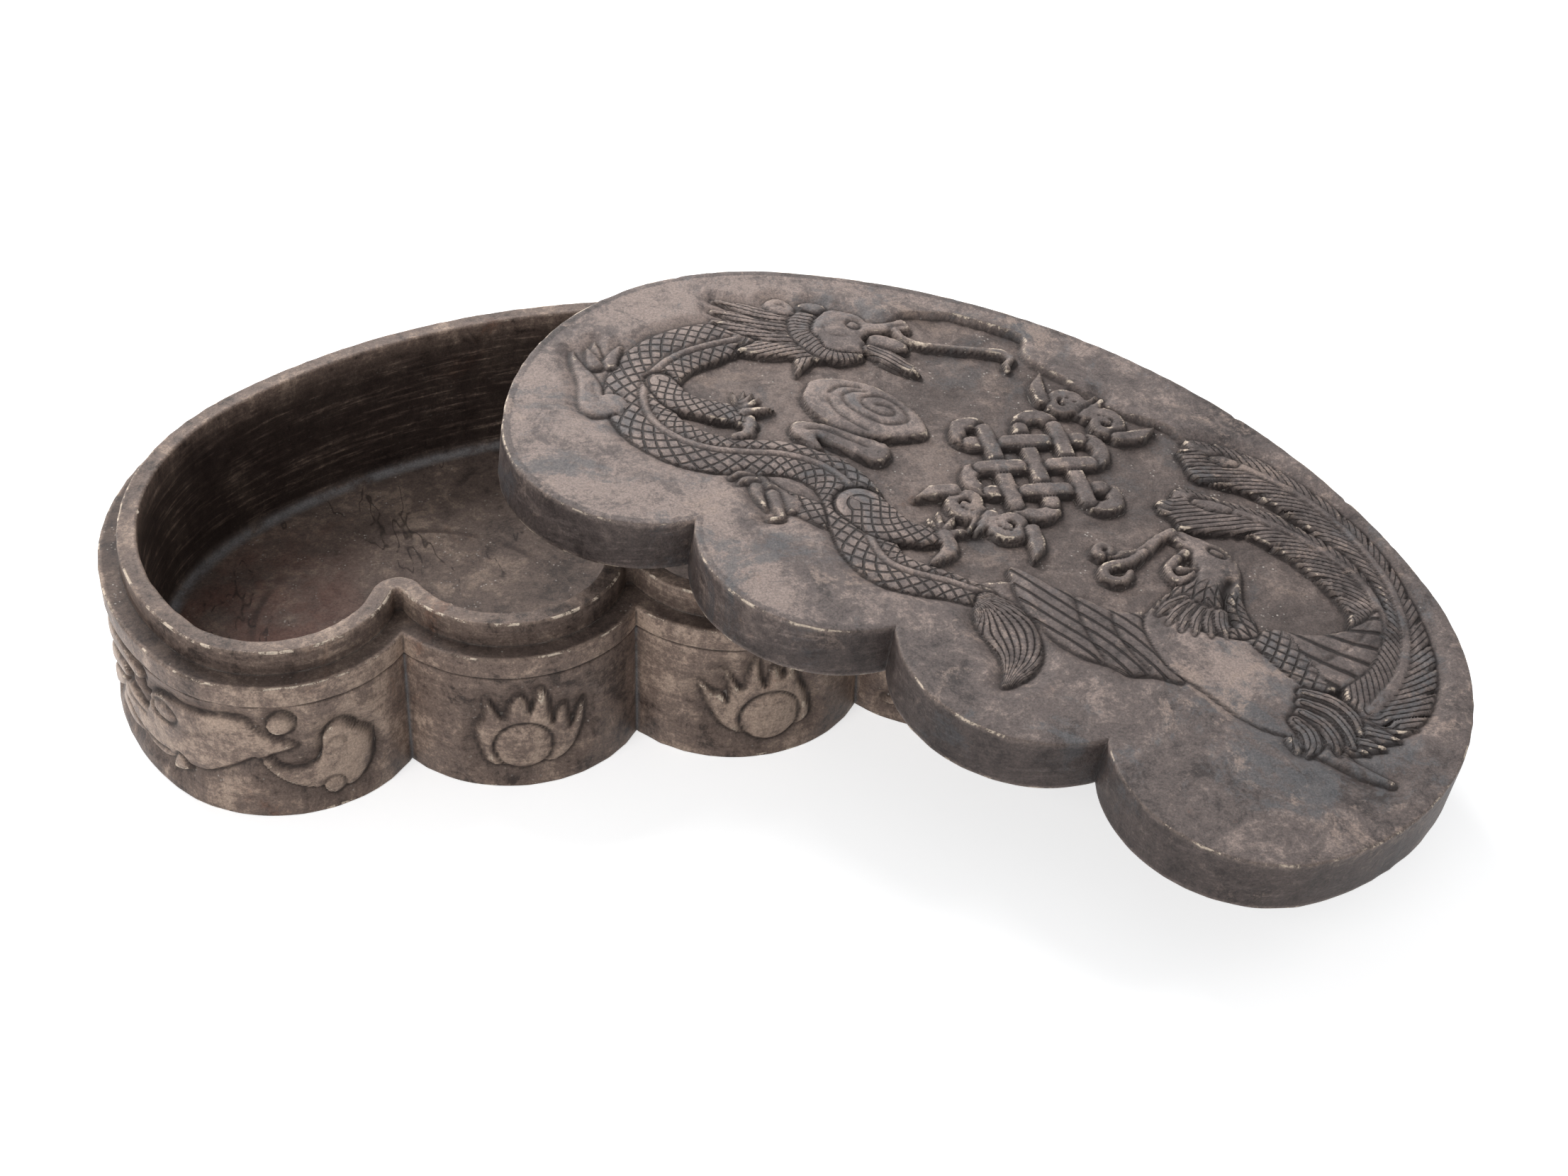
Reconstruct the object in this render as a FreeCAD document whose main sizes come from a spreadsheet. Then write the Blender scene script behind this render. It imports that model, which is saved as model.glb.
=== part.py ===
import FreeCAD, Part
import math
import os

import Sketcher

# A carved stone writing box: a half-moon box with a scalloped front, hollowed from one block, and
# its lift-off lid, which lies askew on the box's lip.  Millimetres, +Z up.  The origin is the middle
# of the box's flat underside, +X runs along its length and -Y towards its scalloped front.

# Each size: name, value, meaning.
SIZES = (
    ("length", 230.0, "box over its two end lobes"),
    ("depth", 136.2, "box from the curved back to the line that the four front lobes touch"),
    ("back_flare", 30.5, "radius of the back's long curve, beyond half the length"),
    ("end_lobe_radius", 31.6, "large lobe at each end of the front"),
    ("end_lobe_set_in", 6.4, "end lobe's own circle, in from the end of the box"),
    ("cusp_depth", 13.4, "cusps of the front, in from the line that the lobes touch"),
    ("ledge_height", 36.6, "flat ledge that carries the closed lid, above the underside"),
    ("wall_set_back", 0.4, "carved wall, in from the band above it"),
    ("band_height", 5.3, "smooth band along the top of the wall"),
    ("ledge_width", 4.8, "ledge, from the band in to the lip"),
    ("lip_height", 6.0, "lip above the ledge"),
    ("lip_thickness", 4.5, "flat top of the lip"),
    ("lip_cusp_round", 1.2, "lip's outer wall where it turns round each cusp of the front"),
    ("floor_thickness", 6.0, "stone left under the hollow"),
    ("floor_fillet", 2.5, "sweep of the hollow's wall into its floor"),
    ("lip_edge_bevel", 0.8, "worn inner edge of the lip"),
    ("lid_thickness", 13.2, "lid slab over all"),
    ("lid_set_back", 1.2, "side of the closed lid, in from the box's band"),
    ("recess_depth", 7.1, "recess under the lid that takes the lip"),
    ("lip_clearance", 0.5, "between the lip and the recess's wall when the lid is closed"),
    ("lid_edge_bevel", 0.4, "worn upper edge of the lid"),
    ("askew_x", 85.0, "middle of the askew lid, along the box"),
    ("askew_y", -49.3, "middle of the askew lid, from the box's middle towards the back"),
    ("askew_turn", -44.3, "turn of the askew lid about the vertical, in degrees"),
    ("seat_gap", 0.3, "air between the askew lid and the lip that carries it"),
)
VERTICAL = FreeCAD.Vector(0, 0, 1)
ORIGIN = (-1, 1)  # a sketch's origin, as its constraints name it
UPRIGHT = -2  # a sketch's Y axis
START, END, CENTRE = 1, 2, 3  # the points of an arc, as a sketch's constraints name them
CONTACT_SPACING = 0.5  # how finely the box's upper edges are tried for contact with the lid
SETTLE_ROUNDS = 6  # the lid tilts little, so its pose stops changing after a few rounds
TOLERANCE = 1e-4

# What follows from the sizes.  An end lobe and a middle lobe meet in the side cusp, and a middle lobe
# goes through that cusp and the one on the mid-line.
END_LOBE_X = "(Sizes.length / 2 - Sizes.end_lobe_set_in - Sizes.end_lobe_radius)"
SIDE_CUSP_X = f"({END_LOBE_X} - sqrt(2 * Sizes.cusp_depth * Sizes.end_lobe_radius - Sizes.cusp_depth^2))"
MID_LOBE_RADIUS = f"(Sizes.cusp_depth / 2 + {SIDE_CUSP_X}^2 / 8 / Sizes.cusp_depth)"

# The end arc touches the box's end line, the back and the end lobe from inside.  RISE is how far its
# centre lies behind the lobe's, and the root of a quadratic.
BACK_RADIUS = "(Sizes.length / 2 + Sizes.back_flare)"
GROWTH = "(Sizes.back_flare / Sizes.end_lobe_set_in)"
DROP = f"(Sizes.end_lobe_radius + {BACK_RADIUS} - Sizes.depth)"
REACH = f"({END_LOBE_X} + {BACK_RADIUS} - Sizes.end_lobe_radius)"
BEYOND = f"(Sizes.back_flare * {REACH} - {DROP}^2)"
RISE = f"((sqrt({DROP}^2 + (1 + {GROWTH}) * {BEYOND}) - {DROP}) / (1 + {GROWTH}))"
END_RADIUS = f"(({RISE}^2 / Sizes.end_lobe_set_in + Sizes.end_lobe_set_in) / 2 + Sizes.end_lobe_radius)"
RADII = {
    "back": BACK_RADIUS,
    "end": END_RADIUS,
    "end lobe": "Sizes.end_lobe_radius",
    "middle lobe": MID_LOBE_RADIUS,
}
LOBES = ("end lobe", "middle lobe")

# The lip's turn at a cusp has a radius of its own.  Where small middle lobes leave the lip's circles
# apart, the turn grows by what they lack, so that it still joins them.
LACKING = f"(Sizes.ledge_width - {MID_LOBE_RADIUS} + {SIDE_CUSP_X} / 2)"
LIP_TURN = f"(Sizes.lip_cusp_round + max(0; {LACKING}))"

doc = FreeCAD.newDocument("stone_box")
sheet = doc.addObject("Spreadsheet::Sheet", "Sizes")
for row, (size_name, number, meaning) in enumerate(SIZES, start=1):
    sheet.set(f"A{row}", meaning)
    sheet.set(f"B{row}", str(number))
    sheet.setAlias(f"B{row}", size_name)
doc.recompute()


def value(expression):
    """What an expression on the sheet's sizes comes to."""
    return float(sheet.evalExpression(expression.replace("Sizes.", "")))


def towards(start, goal, distance):
    """The point that lies a distance from start, on the way to goal or past it."""
    return start + (goal - start).normalize() * distance


def crossing(centre_a, radius_a, centre_b, radius_b):
    """The point nearest the front where two circles cross."""
    apart = (centre_b - centre_a).Length
    along = (radius_a**2 - radius_b**2 + apart**2) / (2 * apart)
    aside = math.sqrt(radius_a**2 - along**2)
    foot = towards(centre_a, centre_b, along)
    step = VERTICAL.cross(centre_b - centre_a).normalize() * aside
    return min(foot + step, foot - step, key=lambda point: point.y)


def mirrored(point):
    return FreeCAD.Vector(-point.x, point.y, point.z)


class Outline:
    """A sketch of the scalloped half-moon, drawn in all round by an inset.

    Every arc keeps its centre whatever the inset is, so the strip between two outlines has one width
    all round.  The outermost lobes cross in sharp cusps.  Further in they no longer meet, and an arc
    of its own, the turn, leads the wall round each cusp.
    """

    def __init__(self, body, name, height="0", inset="0", turn=None):
        self.sketch = body.newObject("Sketcher::SketchObject", name)
        plane = next(feature for feature in body.Origin.OriginFeatures if feature.Role == "XY_Plane")
        self.sketch.AttachmentSupport = [(plane, "")]
        self.sketch.MapMode = "FlatFace"
        self.sketch.setExpression(".AttachmentOffset.Base.z", height)
        self.inset = inset
        self.turn = turn
        self.draw()
        doc.recompute()

    def radius(self, kind):
        return f"{RADII[kind]} - ({self.inset})" if kind else self.turn

    def draw(self):
        """Arcs of the right half, counter-clockwise from the mid-line, then all of them joined up."""
        back, end, lobe, mid = centres()
        end_radius = value(self.radius("end"))
        lobe_radius = value(self.radius("end lobe"))
        mid_radius = value(self.radius("middle lobe"))
        back_stop = towards(end, back, -end_radius)
        end_stop = towards(lobe, end, -lobe_radius)
        if self.turn:
            turn = value(self.turn)
            side_turn = crossing(lobe, lobe_radius + turn, mid, mid_radius + turn)
            mid_turn = crossing(mid, mid_radius + turn, mirrored(mid), mid_radius + turn)
            lobe_stop = towards(lobe, side_turn, lobe_radius)
            mid_stop = towards(mid, side_turn, mid_radius)
            first_stop = towards(mid, mid_turn, mid_radius)
        else:
            lobe_stop = mid_stop = crossing(lobe, lobe_radius, mid, mid_radius)
            first_stop = crossing(mid, mid_radius, mirrored(mid), mid_radius)

        right = [("middle lobe", mid, first_stop, mid_stop)]
        if self.turn:
            right.append((None, side_turn, mid_stop, lobe_stop))
        right.append(("end lobe", lobe, lobe_stop, end_stop))
        right.append(("end", end, end_stop, back_stop))
        left = [(kind, mirrored(at), mirrored(last), mirrored(first)) for kind, at, first, last in right]
        arcs = right + [("back", back, back_stop, mirrored(back_stop))] + left[::-1]
        if self.turn:
            arcs.append((None, mid_turn, mirrored(first_stop), first_stop))
        drawn = [self.draw_arc(*arc) for arc in arcs]
        for this, following in zip(drawn, drawn[1:] + drawn[:1]):
            self.join(this, following)

    def draw_arc(self, kind, centre, first, last):
        """One arc, held by its radius and centre.  A lobe bulges outwards, a turn inwards."""
        low, high = (first, last) if kind else (last, first)
        circle = Part.Circle(centre, VERTICAL, (first - centre).Length)
        arc = Part.ArcOfCircle(circle, bearing(centre, low), bearing(centre, high))
        index = self.sketch.addGeometry(arc)
        self.hold("Radius", (index,), self.radius(kind))
        middle = (index, CENTRE)
        if kind in LOBES:
            self.hold("DistanceY", middle + ORIGIN, f"Sizes.depth / 2 - {RADII[kind]}")
        if kind == "back":
            self.hold("DistanceY", middle + ORIGIN, f"{BACK_RADIUS} - Sizes.depth / 2")
            self.sketch.addConstraint(Sketcher.Constraint("PointOnObject", *middle, UPRIGHT))
        sideways = {"end": f"Sizes.length / 2 - {END_RADIUS}", "middle lobe": f"{SIDE_CUSP_X} / 2"}
        if kind in sideways:
            pair = ORIGIN + middle if centre.x > 0 else middle + ORIGIN
            self.hold("DistanceX", pair, sideways[kind])
        return index, kind

    def hold(self, kind, where, expression):
        """Adds a dimension that follows the sheet."""
        index = self.sketch.addConstraint(Sketcher.Constraint(kind, *where, value(expression)))
        self.sketch.setExpression(f"Constraints[{index}]", expression)

    def join(self, this, following):
        """Joins one arc to the next: in a sharp cusp between two lobes, else in a tangent."""
        index, kind = this
        next_index, next_kind = following
        joint = "Coincident" if kind in LOBES and next_kind in LOBES else "Tangent"
        end = (index, END if kind else START)
        start = (next_index, START if next_kind else END)
        self.sketch.addConstraint(Sketcher.Constraint(joint, *end, *start))


def centres():
    """Centres of the back, and of the right half's end arc, end lobe and middle lobe."""
    front = value("-Sizes.depth / 2")
    lobe_y = front + value("Sizes.end_lobe_radius")
    back = FreeCAD.Vector(0, value(f"Sizes.depth / 2 - {BACK_RADIUS}"), 0)
    end = FreeCAD.Vector(value(f"Sizes.length / 2 - {END_RADIUS}"), lobe_y + value(RISE), 0)
    lobe = FreeCAD.Vector(value(END_LOBE_X), lobe_y, 0)
    mid = FreeCAD.Vector(value(f"{SIDE_CUSP_X} / 2"), front + value(MID_LOBE_RADIUS), 0)
    return back, end, lobe, mid


def bearing(centre, point):
    return math.atan2(point.y - centre.y, point.x - centre.x)


def new_body(label):
    body = doc.addObject("PartDesign::Body", label)
    body.Label = label
    return body


def pad(body, outline, name, length):
    feature = body.newObject("PartDesign::Pad", name)
    feature.Profile = outline.sketch
    feature.setExpression("Length", length)
    doc.recompute()
    return feature


def pocket(body, outline, name, length, upwards=False):
    """A hollow cut down from the outline, or up from it."""
    uncut = body.Shape.Volume
    feature = body.newObject("PartDesign::Pocket", name)
    feature.Profile = outline.sketch
    feature.Reversed = upwards
    feature.setExpression("Length", length)
    doc.recompute()
    if feature.Shape.Volume >= uncut:
        raise ValueError(f"{name} cut nothing")
    return feature


def level_face(shape, height):
    """The largest flat face that looks up or down at a height."""
    level = [face for face in shape.Faces if face.BoundBox.ZLength < TOLERANCE]
    level = [face for face in level if abs(face.BoundBox.ZMin - height) < TOLERANCE]
    return max(level, key=lambda face: face.Area)


def edge_names(shape, edges):
    """Names of a shape's edges, as a fillet or chamfer wants them."""
    names = []
    for number, candidate in enumerate(shape.Edges, start=1):
        if any(candidate.isSame(edge) for edge in edges):
            names.append(f"Edge{number}")
    return names


def soften(body, kind, name, edges, amount):
    """A fillet or a chamfer along edges of the body's last feature."""
    last = body.Tip
    feature = body.newObject(f"PartDesign::{kind}", name)
    feature.Base = (last, edge_names(last.Shape, edges))
    feature.setExpression("Radius" if kind == "Fillet" else "Size", amount)
    doc.recompute()
    return feature


def make_base():
    """The box itself: a wall under a proud band, a ledge, a raised lip, and the hollow inside it."""
    body = new_body("box_base")
    wall_height = "Sizes.ledge_height - Sizes.band_height"
    top = "Sizes.ledge_height + Sizes.lip_height"
    wall = Outline(body, "wall_outline", inset="Sizes.wall_set_back")
    pad(body, wall, "wall", wall_height)
    band = Outline(body, "band_outline", height=wall_height)
    pad(body, band, "band", "Sizes.band_height")
    lip = Outline(body, "lip_outline", "Sizes.ledge_height", "Sizes.ledge_width", LIP_TURN)
    pad(body, lip, "lip", "Sizes.lip_height")
    inside = "Sizes.ledge_width + Sizes.lip_thickness"
    turn = f"{LIP_TURN} + Sizes.lip_thickness"
    hollow = Outline(body, "hollow_outline", top, inside, turn)
    pocket(body, hollow, "hollow", f"{top} - Sizes.floor_thickness")
    floor = level_face(body.Tip.Shape, value("Sizes.floor_thickness"))
    soften(body, "Fillet", "floor_sweep", floor.Edges, "Sizes.floor_fillet")
    rim = level_face(body.Tip.Shape, value(top))
    inner = [wire for wire in rim.Wires if not wire.isSame(rim.OuterWire)]
    soften(body, "Chamfer", "worn_lip", inner[0].Edges, "Sizes.lip_edge_bevel")
    return body


def make_lid():
    """The lid, lying flat on its rim: a slab with a recess below that fits over the box's lip."""
    body = new_body("box_lid")
    slab = Outline(body, "slab_outline", inset="Sizes.lid_set_back")
    pad(body, slab, "slab", "Sizes.lid_thickness")
    around_lip = "Sizes.ledge_width - Sizes.lip_clearance"
    turn = f"{LIP_TURN} - Sizes.lip_clearance"
    recess = Outline(body, "recess_outline", inset=around_lip, turn=turn)
    pocket(body, recess, "recess", "Sizes.recess_depth", upwards=True)
    top = level_face(body.Tip.Shape, value("Sizes.lid_thickness"))
    soften(body, "Chamfer", "worn_edge", top.OuterWire.Edges, "Sizes.lid_edge_bevel")
    return body, Part.Face(slab.sketch.Shape.Wires[0]), Part.Face(recess.sketch.Shape.Wires[0])


def height_through(props, x, y):
    """Height at x, y of the plane through three points."""
    a, b, c = props
    normal = (b - a).cross(c - a)
    return a.z - ((x - a.x) * normal.x + (y - a.y) * normal.y) / normal.z


def stands_between(props, point):
    """Whether a point lies inside the triangle that three points make in plan."""
    sides = []
    for first, second in zip(props, props[1:] + props[:1]):
        sides.append((second - first).cross(point - first).z)
    return min(sides) >= 0 or max(sides) <= 0


def resting_props(points, centre):
    """The three points that a plate rests on when it is lowered flat-side down onto all of them.

    The plate starts on three low props far out.  While a point still stands through it, the one
    that stands highest takes the place of a prop, so that the plate's centre of mass stays between
    its three props.
    """
    far = value("Sizes.length * Sizes.depth")
    props = [FreeCAD.Vector(x, y, -far) for x, y in ((-far, -far), (far, -far), (0, far))]
    while True:
        highest = max(points, key=lambda point: point.z - height_through(props, point.x, point.y))
        if highest.z - height_through(props, highest.x, highest.y) < TOLERANCE:
            return props
        swaps = [props[:i] + [highest] + props[i + 1 :] for i in range(3)]
        props = next(swap for swap in swaps if stands_between(swap, centre))


def lay_askew(lid, slab, recess, base):
    """Turns and shifts the lid, then settles it on the box's lip, a small gap above three points."""
    ledge = value("Sizes.ledge_height")
    upper = [edge for edge in base.Shape.Edges if edge.BoundBox.ZMin > ledge - TOLERANCE]
    trials = [point for edge in upper for point in edge.discretize(Distance=CONTACT_SPACING)]
    balance = lid.Shape.CenterOfGravity
    shift = FreeCAD.Vector(value("Sizes.askew_x"), value("Sizes.askew_y"), ledge)
    pose = FreeCAD.Placement(shift, FreeCAD.Rotation(VERTICAL, value("Sizes.askew_turn")))
    for _ in range(SETTLE_ROUNDS):
        contacts = []
        for trial in trials:
            point = pose.inverse().multVec(trial)
            plan = FreeCAD.Vector(point.x, point.y, 0)
            if slab.isInside(plan, TOLERANCE, True):
                covered = recess.isInside(plan, TOLERANCE, False)
                contacts.append(point - VERTICAL * (value("Sizes.recess_depth") if covered else 0))
        props = resting_props(contacts, balance)
        normal = (props[1] - props[0]).cross(props[2] - props[0])
        if normal.z < 0:
            normal = -normal
        lift = height_through(props, 0, 0) + value("Sizes.seat_gap")
        pose = pose.multiply(FreeCAD.Placement(VERTICAL * lift, FreeCAD.Rotation(VERTICAL, normal)))
        pose.Base = FreeCAD.Vector(shift.x, shift.y, pose.Base.z)
    lid.Placement = pose
    doc.recompute()


base = make_base()
lid, slab_face, recess_face = make_lid()
lay_askew(lid, slab_face, recess_face, base)

for item in doc.Objects:
    if "Invalid" in item.State or "Error" in item.State:
        raise ValueError(f"{item.Label} failed: {item.State}")
os.makedirs("parts", exist_ok=True)
for body in (base, lid):
    if body.Shape.isNull() or not body.Shape.isValid():
        raise ValueError(f"{body.Label} has no valid shape")
    body.Shape.exportStep(f"parts/{body.Label}.step")
    print(f"{body.Label}: {body.Shape.Volume / 1000:.1f} cm3 at {body.Placement}")
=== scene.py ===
# %% [markdown]
# # A carved stone ink box
# The box is one block of dark stone, hollowed out, and its lid is one slab. What there is to see on
# them is carving, so this lesson makes two fine meshes. The outline is swept up the walls, and the
# carving is a height map, cut by helpers that work like chisels. One recipe for stone covers both.
#
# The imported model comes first. It gives the places and sizes that everything else keeps to.

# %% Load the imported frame
import math

import bpy
import numpy as np
from mathutils import Matrix, Vector
from mathutils.geometry import delaunay_2d_cdt


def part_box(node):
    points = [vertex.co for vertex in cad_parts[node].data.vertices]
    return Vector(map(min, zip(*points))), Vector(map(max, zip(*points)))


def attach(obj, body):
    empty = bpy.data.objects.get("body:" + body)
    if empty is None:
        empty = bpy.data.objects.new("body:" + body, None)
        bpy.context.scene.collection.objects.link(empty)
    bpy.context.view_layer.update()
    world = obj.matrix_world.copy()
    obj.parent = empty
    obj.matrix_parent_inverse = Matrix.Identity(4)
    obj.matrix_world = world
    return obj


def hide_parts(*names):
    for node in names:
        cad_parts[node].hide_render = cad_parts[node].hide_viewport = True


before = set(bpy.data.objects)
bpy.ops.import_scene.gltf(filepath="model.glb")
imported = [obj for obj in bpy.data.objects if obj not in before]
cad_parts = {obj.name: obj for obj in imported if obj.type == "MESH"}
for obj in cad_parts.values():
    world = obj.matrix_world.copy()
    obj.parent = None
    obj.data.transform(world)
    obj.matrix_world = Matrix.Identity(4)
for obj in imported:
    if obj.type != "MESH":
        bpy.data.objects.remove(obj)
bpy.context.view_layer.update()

MM = 0.001

# %% [markdown]
# ## Camera
# The picture was taken with a long lens, from in front and above. A camera could be placed by its own
# coordinates, but angles about a point on the table are easier to read and to correct. The focal
# length goes with a sensor as wide as the picture, so it holds at any render size.

# %% Camera
AZIMUTH, ELEVATION, ROLL = -13.549, 37.797, 1.765
DISTANCE = 654.36 * MM
AIM = Vector((44.54, -8.06, 0)) * MM
LENS, SENSOR = 61.43, 36.0


def place_camera():
    turn = Matrix.Rotation(math.radians(AZIMUTH), 4, "Z")
    tilt = Matrix.Rotation(math.radians(90 - ELEVATION), 4, "X")
    roll = Matrix.Rotation(math.radians(ROLL), 4, "Z")
    camera = bpy.data.objects.new("camera", bpy.data.cameras.new("camera"))
    camera.data.sensor_width = SENSOR
    camera.data.lens = LENS
    away = Matrix.Translation((0, 0, DISTANCE))
    camera.matrix_world = Matrix.Translation(AIM) @ turn @ tilt @ roll @ away
    bpy.context.scene.collection.objects.link(camera)
    bpy.context.scene.camera = camera
    return camera


camera = place_camera()
print("camera at", [round(c, 4) for c in camera.matrix_world.translation])

# %% [markdown]
# ## Shader maths as plain Python
# A material is a graph of nodes. Written node by node it is long and hard to read, so one small class
# wraps a socket and lets Python's own signs add the Math nodes.

# %% A socket that knows arithmetic
class Socket:
    """One output of a node, or the start of an empty tree."""

    def __init__(self, tree, output=None):
        self.tree = tree
        self.output = output

    def add(self, kind, settings=None, inputs=None, output=0):
        """Any node: its settings first, then the values or links of its sockets."""
        node = self.tree.nodes.new("ShaderNode" + kind)
        for name, value in (settings or {}).items():
            setattr(node, name, value)
        for name, value in (inputs or {}).items():
            if isinstance(value, Socket):
                self.tree.links.new(value.output, node.inputs[name])
            else:
                node.inputs[name].default_value = value
        return Socket(self.tree, node.outputs[output] if node.outputs else None)

    def maths(self, operation, *values):
        return self.add("Math", {"operation": operation}, dict(enumerate(values)))

    def __add__(self, other):
        return self.maths("ADD", self, other)

    def __sub__(self, other):
        return self.maths("SUBTRACT", self, other)

    def __rsub__(self, other):
        return self.maths("SUBTRACT", other, self)

    def __mul__(self, other):
        return self.maths("MULTIPLY", self, other)

    __radd__ = __add__
    __rmul__ = __mul__

    def between(self, low, high):
        """0 below low, 1 above high and smooth in between."""
        names = {"Value": self, "From Min": low, "From Max": high}
        return self.add("MapRange", {"interpolation_type": "SMOOTHSTEP"}, names)


# The Mix node has sockets for numbers, vectors and colours. These are the places of the ones for colours.
MIX_FACTOR, MIX_UNDER, MIX_OVER, MIX_RESULT = 0, 6, 7, 2


def mixed(factor, under, over, mode="MIX"):
    """One colour over another by a factor. At least one of the three is a socket."""
    tree = next(value for value in (factor, under, over) if isinstance(value, Socket))
    sockets = {MIX_FACTOR: factor, MIX_UNDER: under, MIX_OVER: over}
    for place in (MIX_UNDER, MIX_OVER):
        if not isinstance(sockets[place], Socket):
            sockets[place] = (*sockets[place], 1)
    return tree.add("Mix", {"data_type": "RGBA", "blend_type": mode}, sockets, MIX_RESULT)


print("shader helpers ready")

# %% [markdown]
# ## Table and light
# The picture has a bare white ground with a thin, soft shadow, and the stone has a satin sheen. One
# strong lamp would burn the edges out, so three soft ones share the work: a wide one overhead and
# behind draws the sheen on the top, one in front fills the walls, and one at the side is faint. A
# pale sky does the rest. What the camera and the reflections see of sky and floor is white, but the
# light that falls on the stone stays at a plain level.

# %% Sky, floor and lamps
WHITE = (1, 1, 1, 1)
SKY_COLOUR, SKY_STRENGTH = (0.95, 0.97, 1.0, 1), 0.34
FLOOR_SIZE, FLOOR_COLOUR, FLOOR_GLOW = 4.0, (0.8, 0.8, 0.8, 1), 0.62
LAMP_AIM = (0.04, -0.02, 0.02)
LAMPS = (("overhead", 22, 0.8, (-0.3, 0.95, 0.95)),
         ("front_fill", 9, 0.9, (-0.9, -1.0, 0.7)),
         ("side", 2, 0.7, (1.1, -0.1, 0.7)))


def seen_directly(tree):
    """1 for the camera, for reflections and through glass, and 0 for the light that falls on things."""
    rays = tree.add("LightPath")
    kinds = rays.output.node.outputs
    mirrored = rays.maths("MAXIMUM", rays, Socket(tree.tree, kinds["Is Glossy Ray"]))
    return rays.maths("MAXIMUM", mirrored, Socket(tree.tree, kinds["Is Transmission Ray"]))


def make_world():
    world = bpy.data.worlds.new("studio")
    world.use_nodes = True
    world.node_tree.nodes.clear()
    tree = Socket(world.node_tree)
    dim = tree.add("Background", None, {"Color": SKY_COLOUR, "Strength": SKY_STRENGTH})
    white = tree.add("Background", None, {"Color": WHITE, "Strength": 1.0})
    both = tree.add("MixShader", None, {0: seen_directly(tree), 1: dim, 2: white})
    tree.add("OutputWorld", None, {"Surface": both})
    bpy.context.scene.world = world


def make_floor():
    half = FLOOR_SIZE / 2
    corners = [(-half, -half, 0), (half, -half, 0), (half, half, 0), (-half, half, 0)]
    mesh = bpy.data.meshes.new("floor")
    mesh.from_pydata(corners, [], [(0, 1, 2, 3)])
    material = bpy.data.materials.new("white_table")
    material.use_nodes = True
    material.node_tree.nodes.clear()
    tree = Socket(material.node_tree)
    plain = tree.add("BsdfDiffuse", None, {"Color": FLOOR_COLOUR})
    glow = tree.add("Emission", None, {"Color": WHITE, "Strength": FLOOR_GLOW})
    bright = tree.add("AddShader", None, {0: plain, 1: glow})
    both = tree.add("MixShader", None, {0: seen_directly(tree), 1: plain, 2: bright})
    tree.add("OutputMaterial", None, {"Surface": both})
    mesh.materials.append(material)
    floor = bpy.data.objects.new("floor", mesh)
    bpy.context.scene.collection.objects.link(floor)


def lamp(name, power, size, place):
    """A square soft lamp, in watts and metres, turned towards the box."""
    light = bpy.data.lights.new(name, "AREA")
    light.energy = power
    light.size = size
    holder = bpy.data.objects.new(name, light)
    holder.location = place
    holder.rotation_euler = (Vector(LAMP_AIM) - Vector(place)).to_track_quat("-Z", "Y").to_euler()
    bpy.context.scene.collection.objects.link(holder)


make_world()
make_floor()
for name, power, size, place in LAMPS:
    lamp(name, power, size, place)
bpy.context.scene.view_settings.view_transform = "Standard"
print("floor, sky and", len(LAMPS), "lamps set")

# %% [markdown]
# ## The scalloped half-moon
# Box, ledge, lip, hollow and lid all share one outline: a long curve for the back, a tighter one round
# each end, and four lobes that meet in three cusps along the front. It could be drawn once and scaled,
# but then the wall would be thin at the ends. Instead every arc keeps its centre while its radius
# shrinks by the inset, so any two outlines are the same distance apart all round. The sizes come from
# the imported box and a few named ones, in millimetres.

# %% Sizes of the outline
def frame_box(node):
    return tuple(np.array(corner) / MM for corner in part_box(node))


BASE_LOW, BASE_HIGH = frame_box("box_base")
LENGTH, DEPTH, BOX_TOP = BASE_HIGH - BASE_LOW * (1, 1, 0)
BACK_FLARE = 30.5
END_LOBE_RADIUS, END_LOBE_SET_IN, CUSP_DEPTH = 31.6, 6.4, 13.4
LEDGE_WIDTH, LIP_CUSP_ROUND = 4.8, 1.2
SHARP_INSET = LEDGE_WIDTH - LIP_CUSP_ROUND

front = -DEPTH / 2
back_radius = LENGTH / 2 + BACK_FLARE
back = np.array((0, DEPTH / 2 - back_radius))
lobe = np.array((LENGTH / 2 - END_LOBE_SET_IN - END_LOBE_RADIUS, front + END_LOBE_RADIUS))
cusp_x = lobe[0] - math.sqrt(2 * CUSP_DEPTH * END_LOBE_RADIUS - CUSP_DEPTH**2)
mid_radius = CUSP_DEPTH / 2 + cusp_x**2 / 8 / CUSP_DEPTH
mid = np.array((cusp_x / 2, front + mid_radius))

# The end arc touches the end of the box, the back and the end lobe. Its centre's rise over the lobe's
# is the root of a quadratic.
growth = BACK_FLARE / END_LOBE_SET_IN
drop = END_LOBE_RADIUS + back_radius - DEPTH
beyond = BACK_FLARE * (lobe[0] + back_radius - END_LOBE_RADIUS) - drop**2
rise = (math.sqrt(drop**2 + (1 + growth) * beyond) - drop) / (1 + growth)
end_radius = (rise**2 / END_LOBE_SET_IN + END_LOBE_SET_IN) / 2 + END_LOBE_RADIUS
end = np.array((LENGTH / 2 - end_radius, lobe[1] + rise))
print(f"length {LENGTH:.1f}, depth {DEPTH:.1f}, middle lobe {mid_radius:.2f}, end arc {end_radius:.2f}")

# %% The outline at any inset
COUNTS = {"turn": 5, "middle lobe": 94, "end lobe": 96, "end": 150, "back": 138}


def bearing(start, goal):
    return math.atan2(goal[1] - start[1], goal[0] - start[0])


def arc(centre, radius, first, last, count):
    """Points along an arc between two bearings, the last one left out."""
    angles = np.linspace(first, last, count, endpoint=False)
    return centre + radius * np.column_stack((np.cos(angles), np.sin(angles)))


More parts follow.
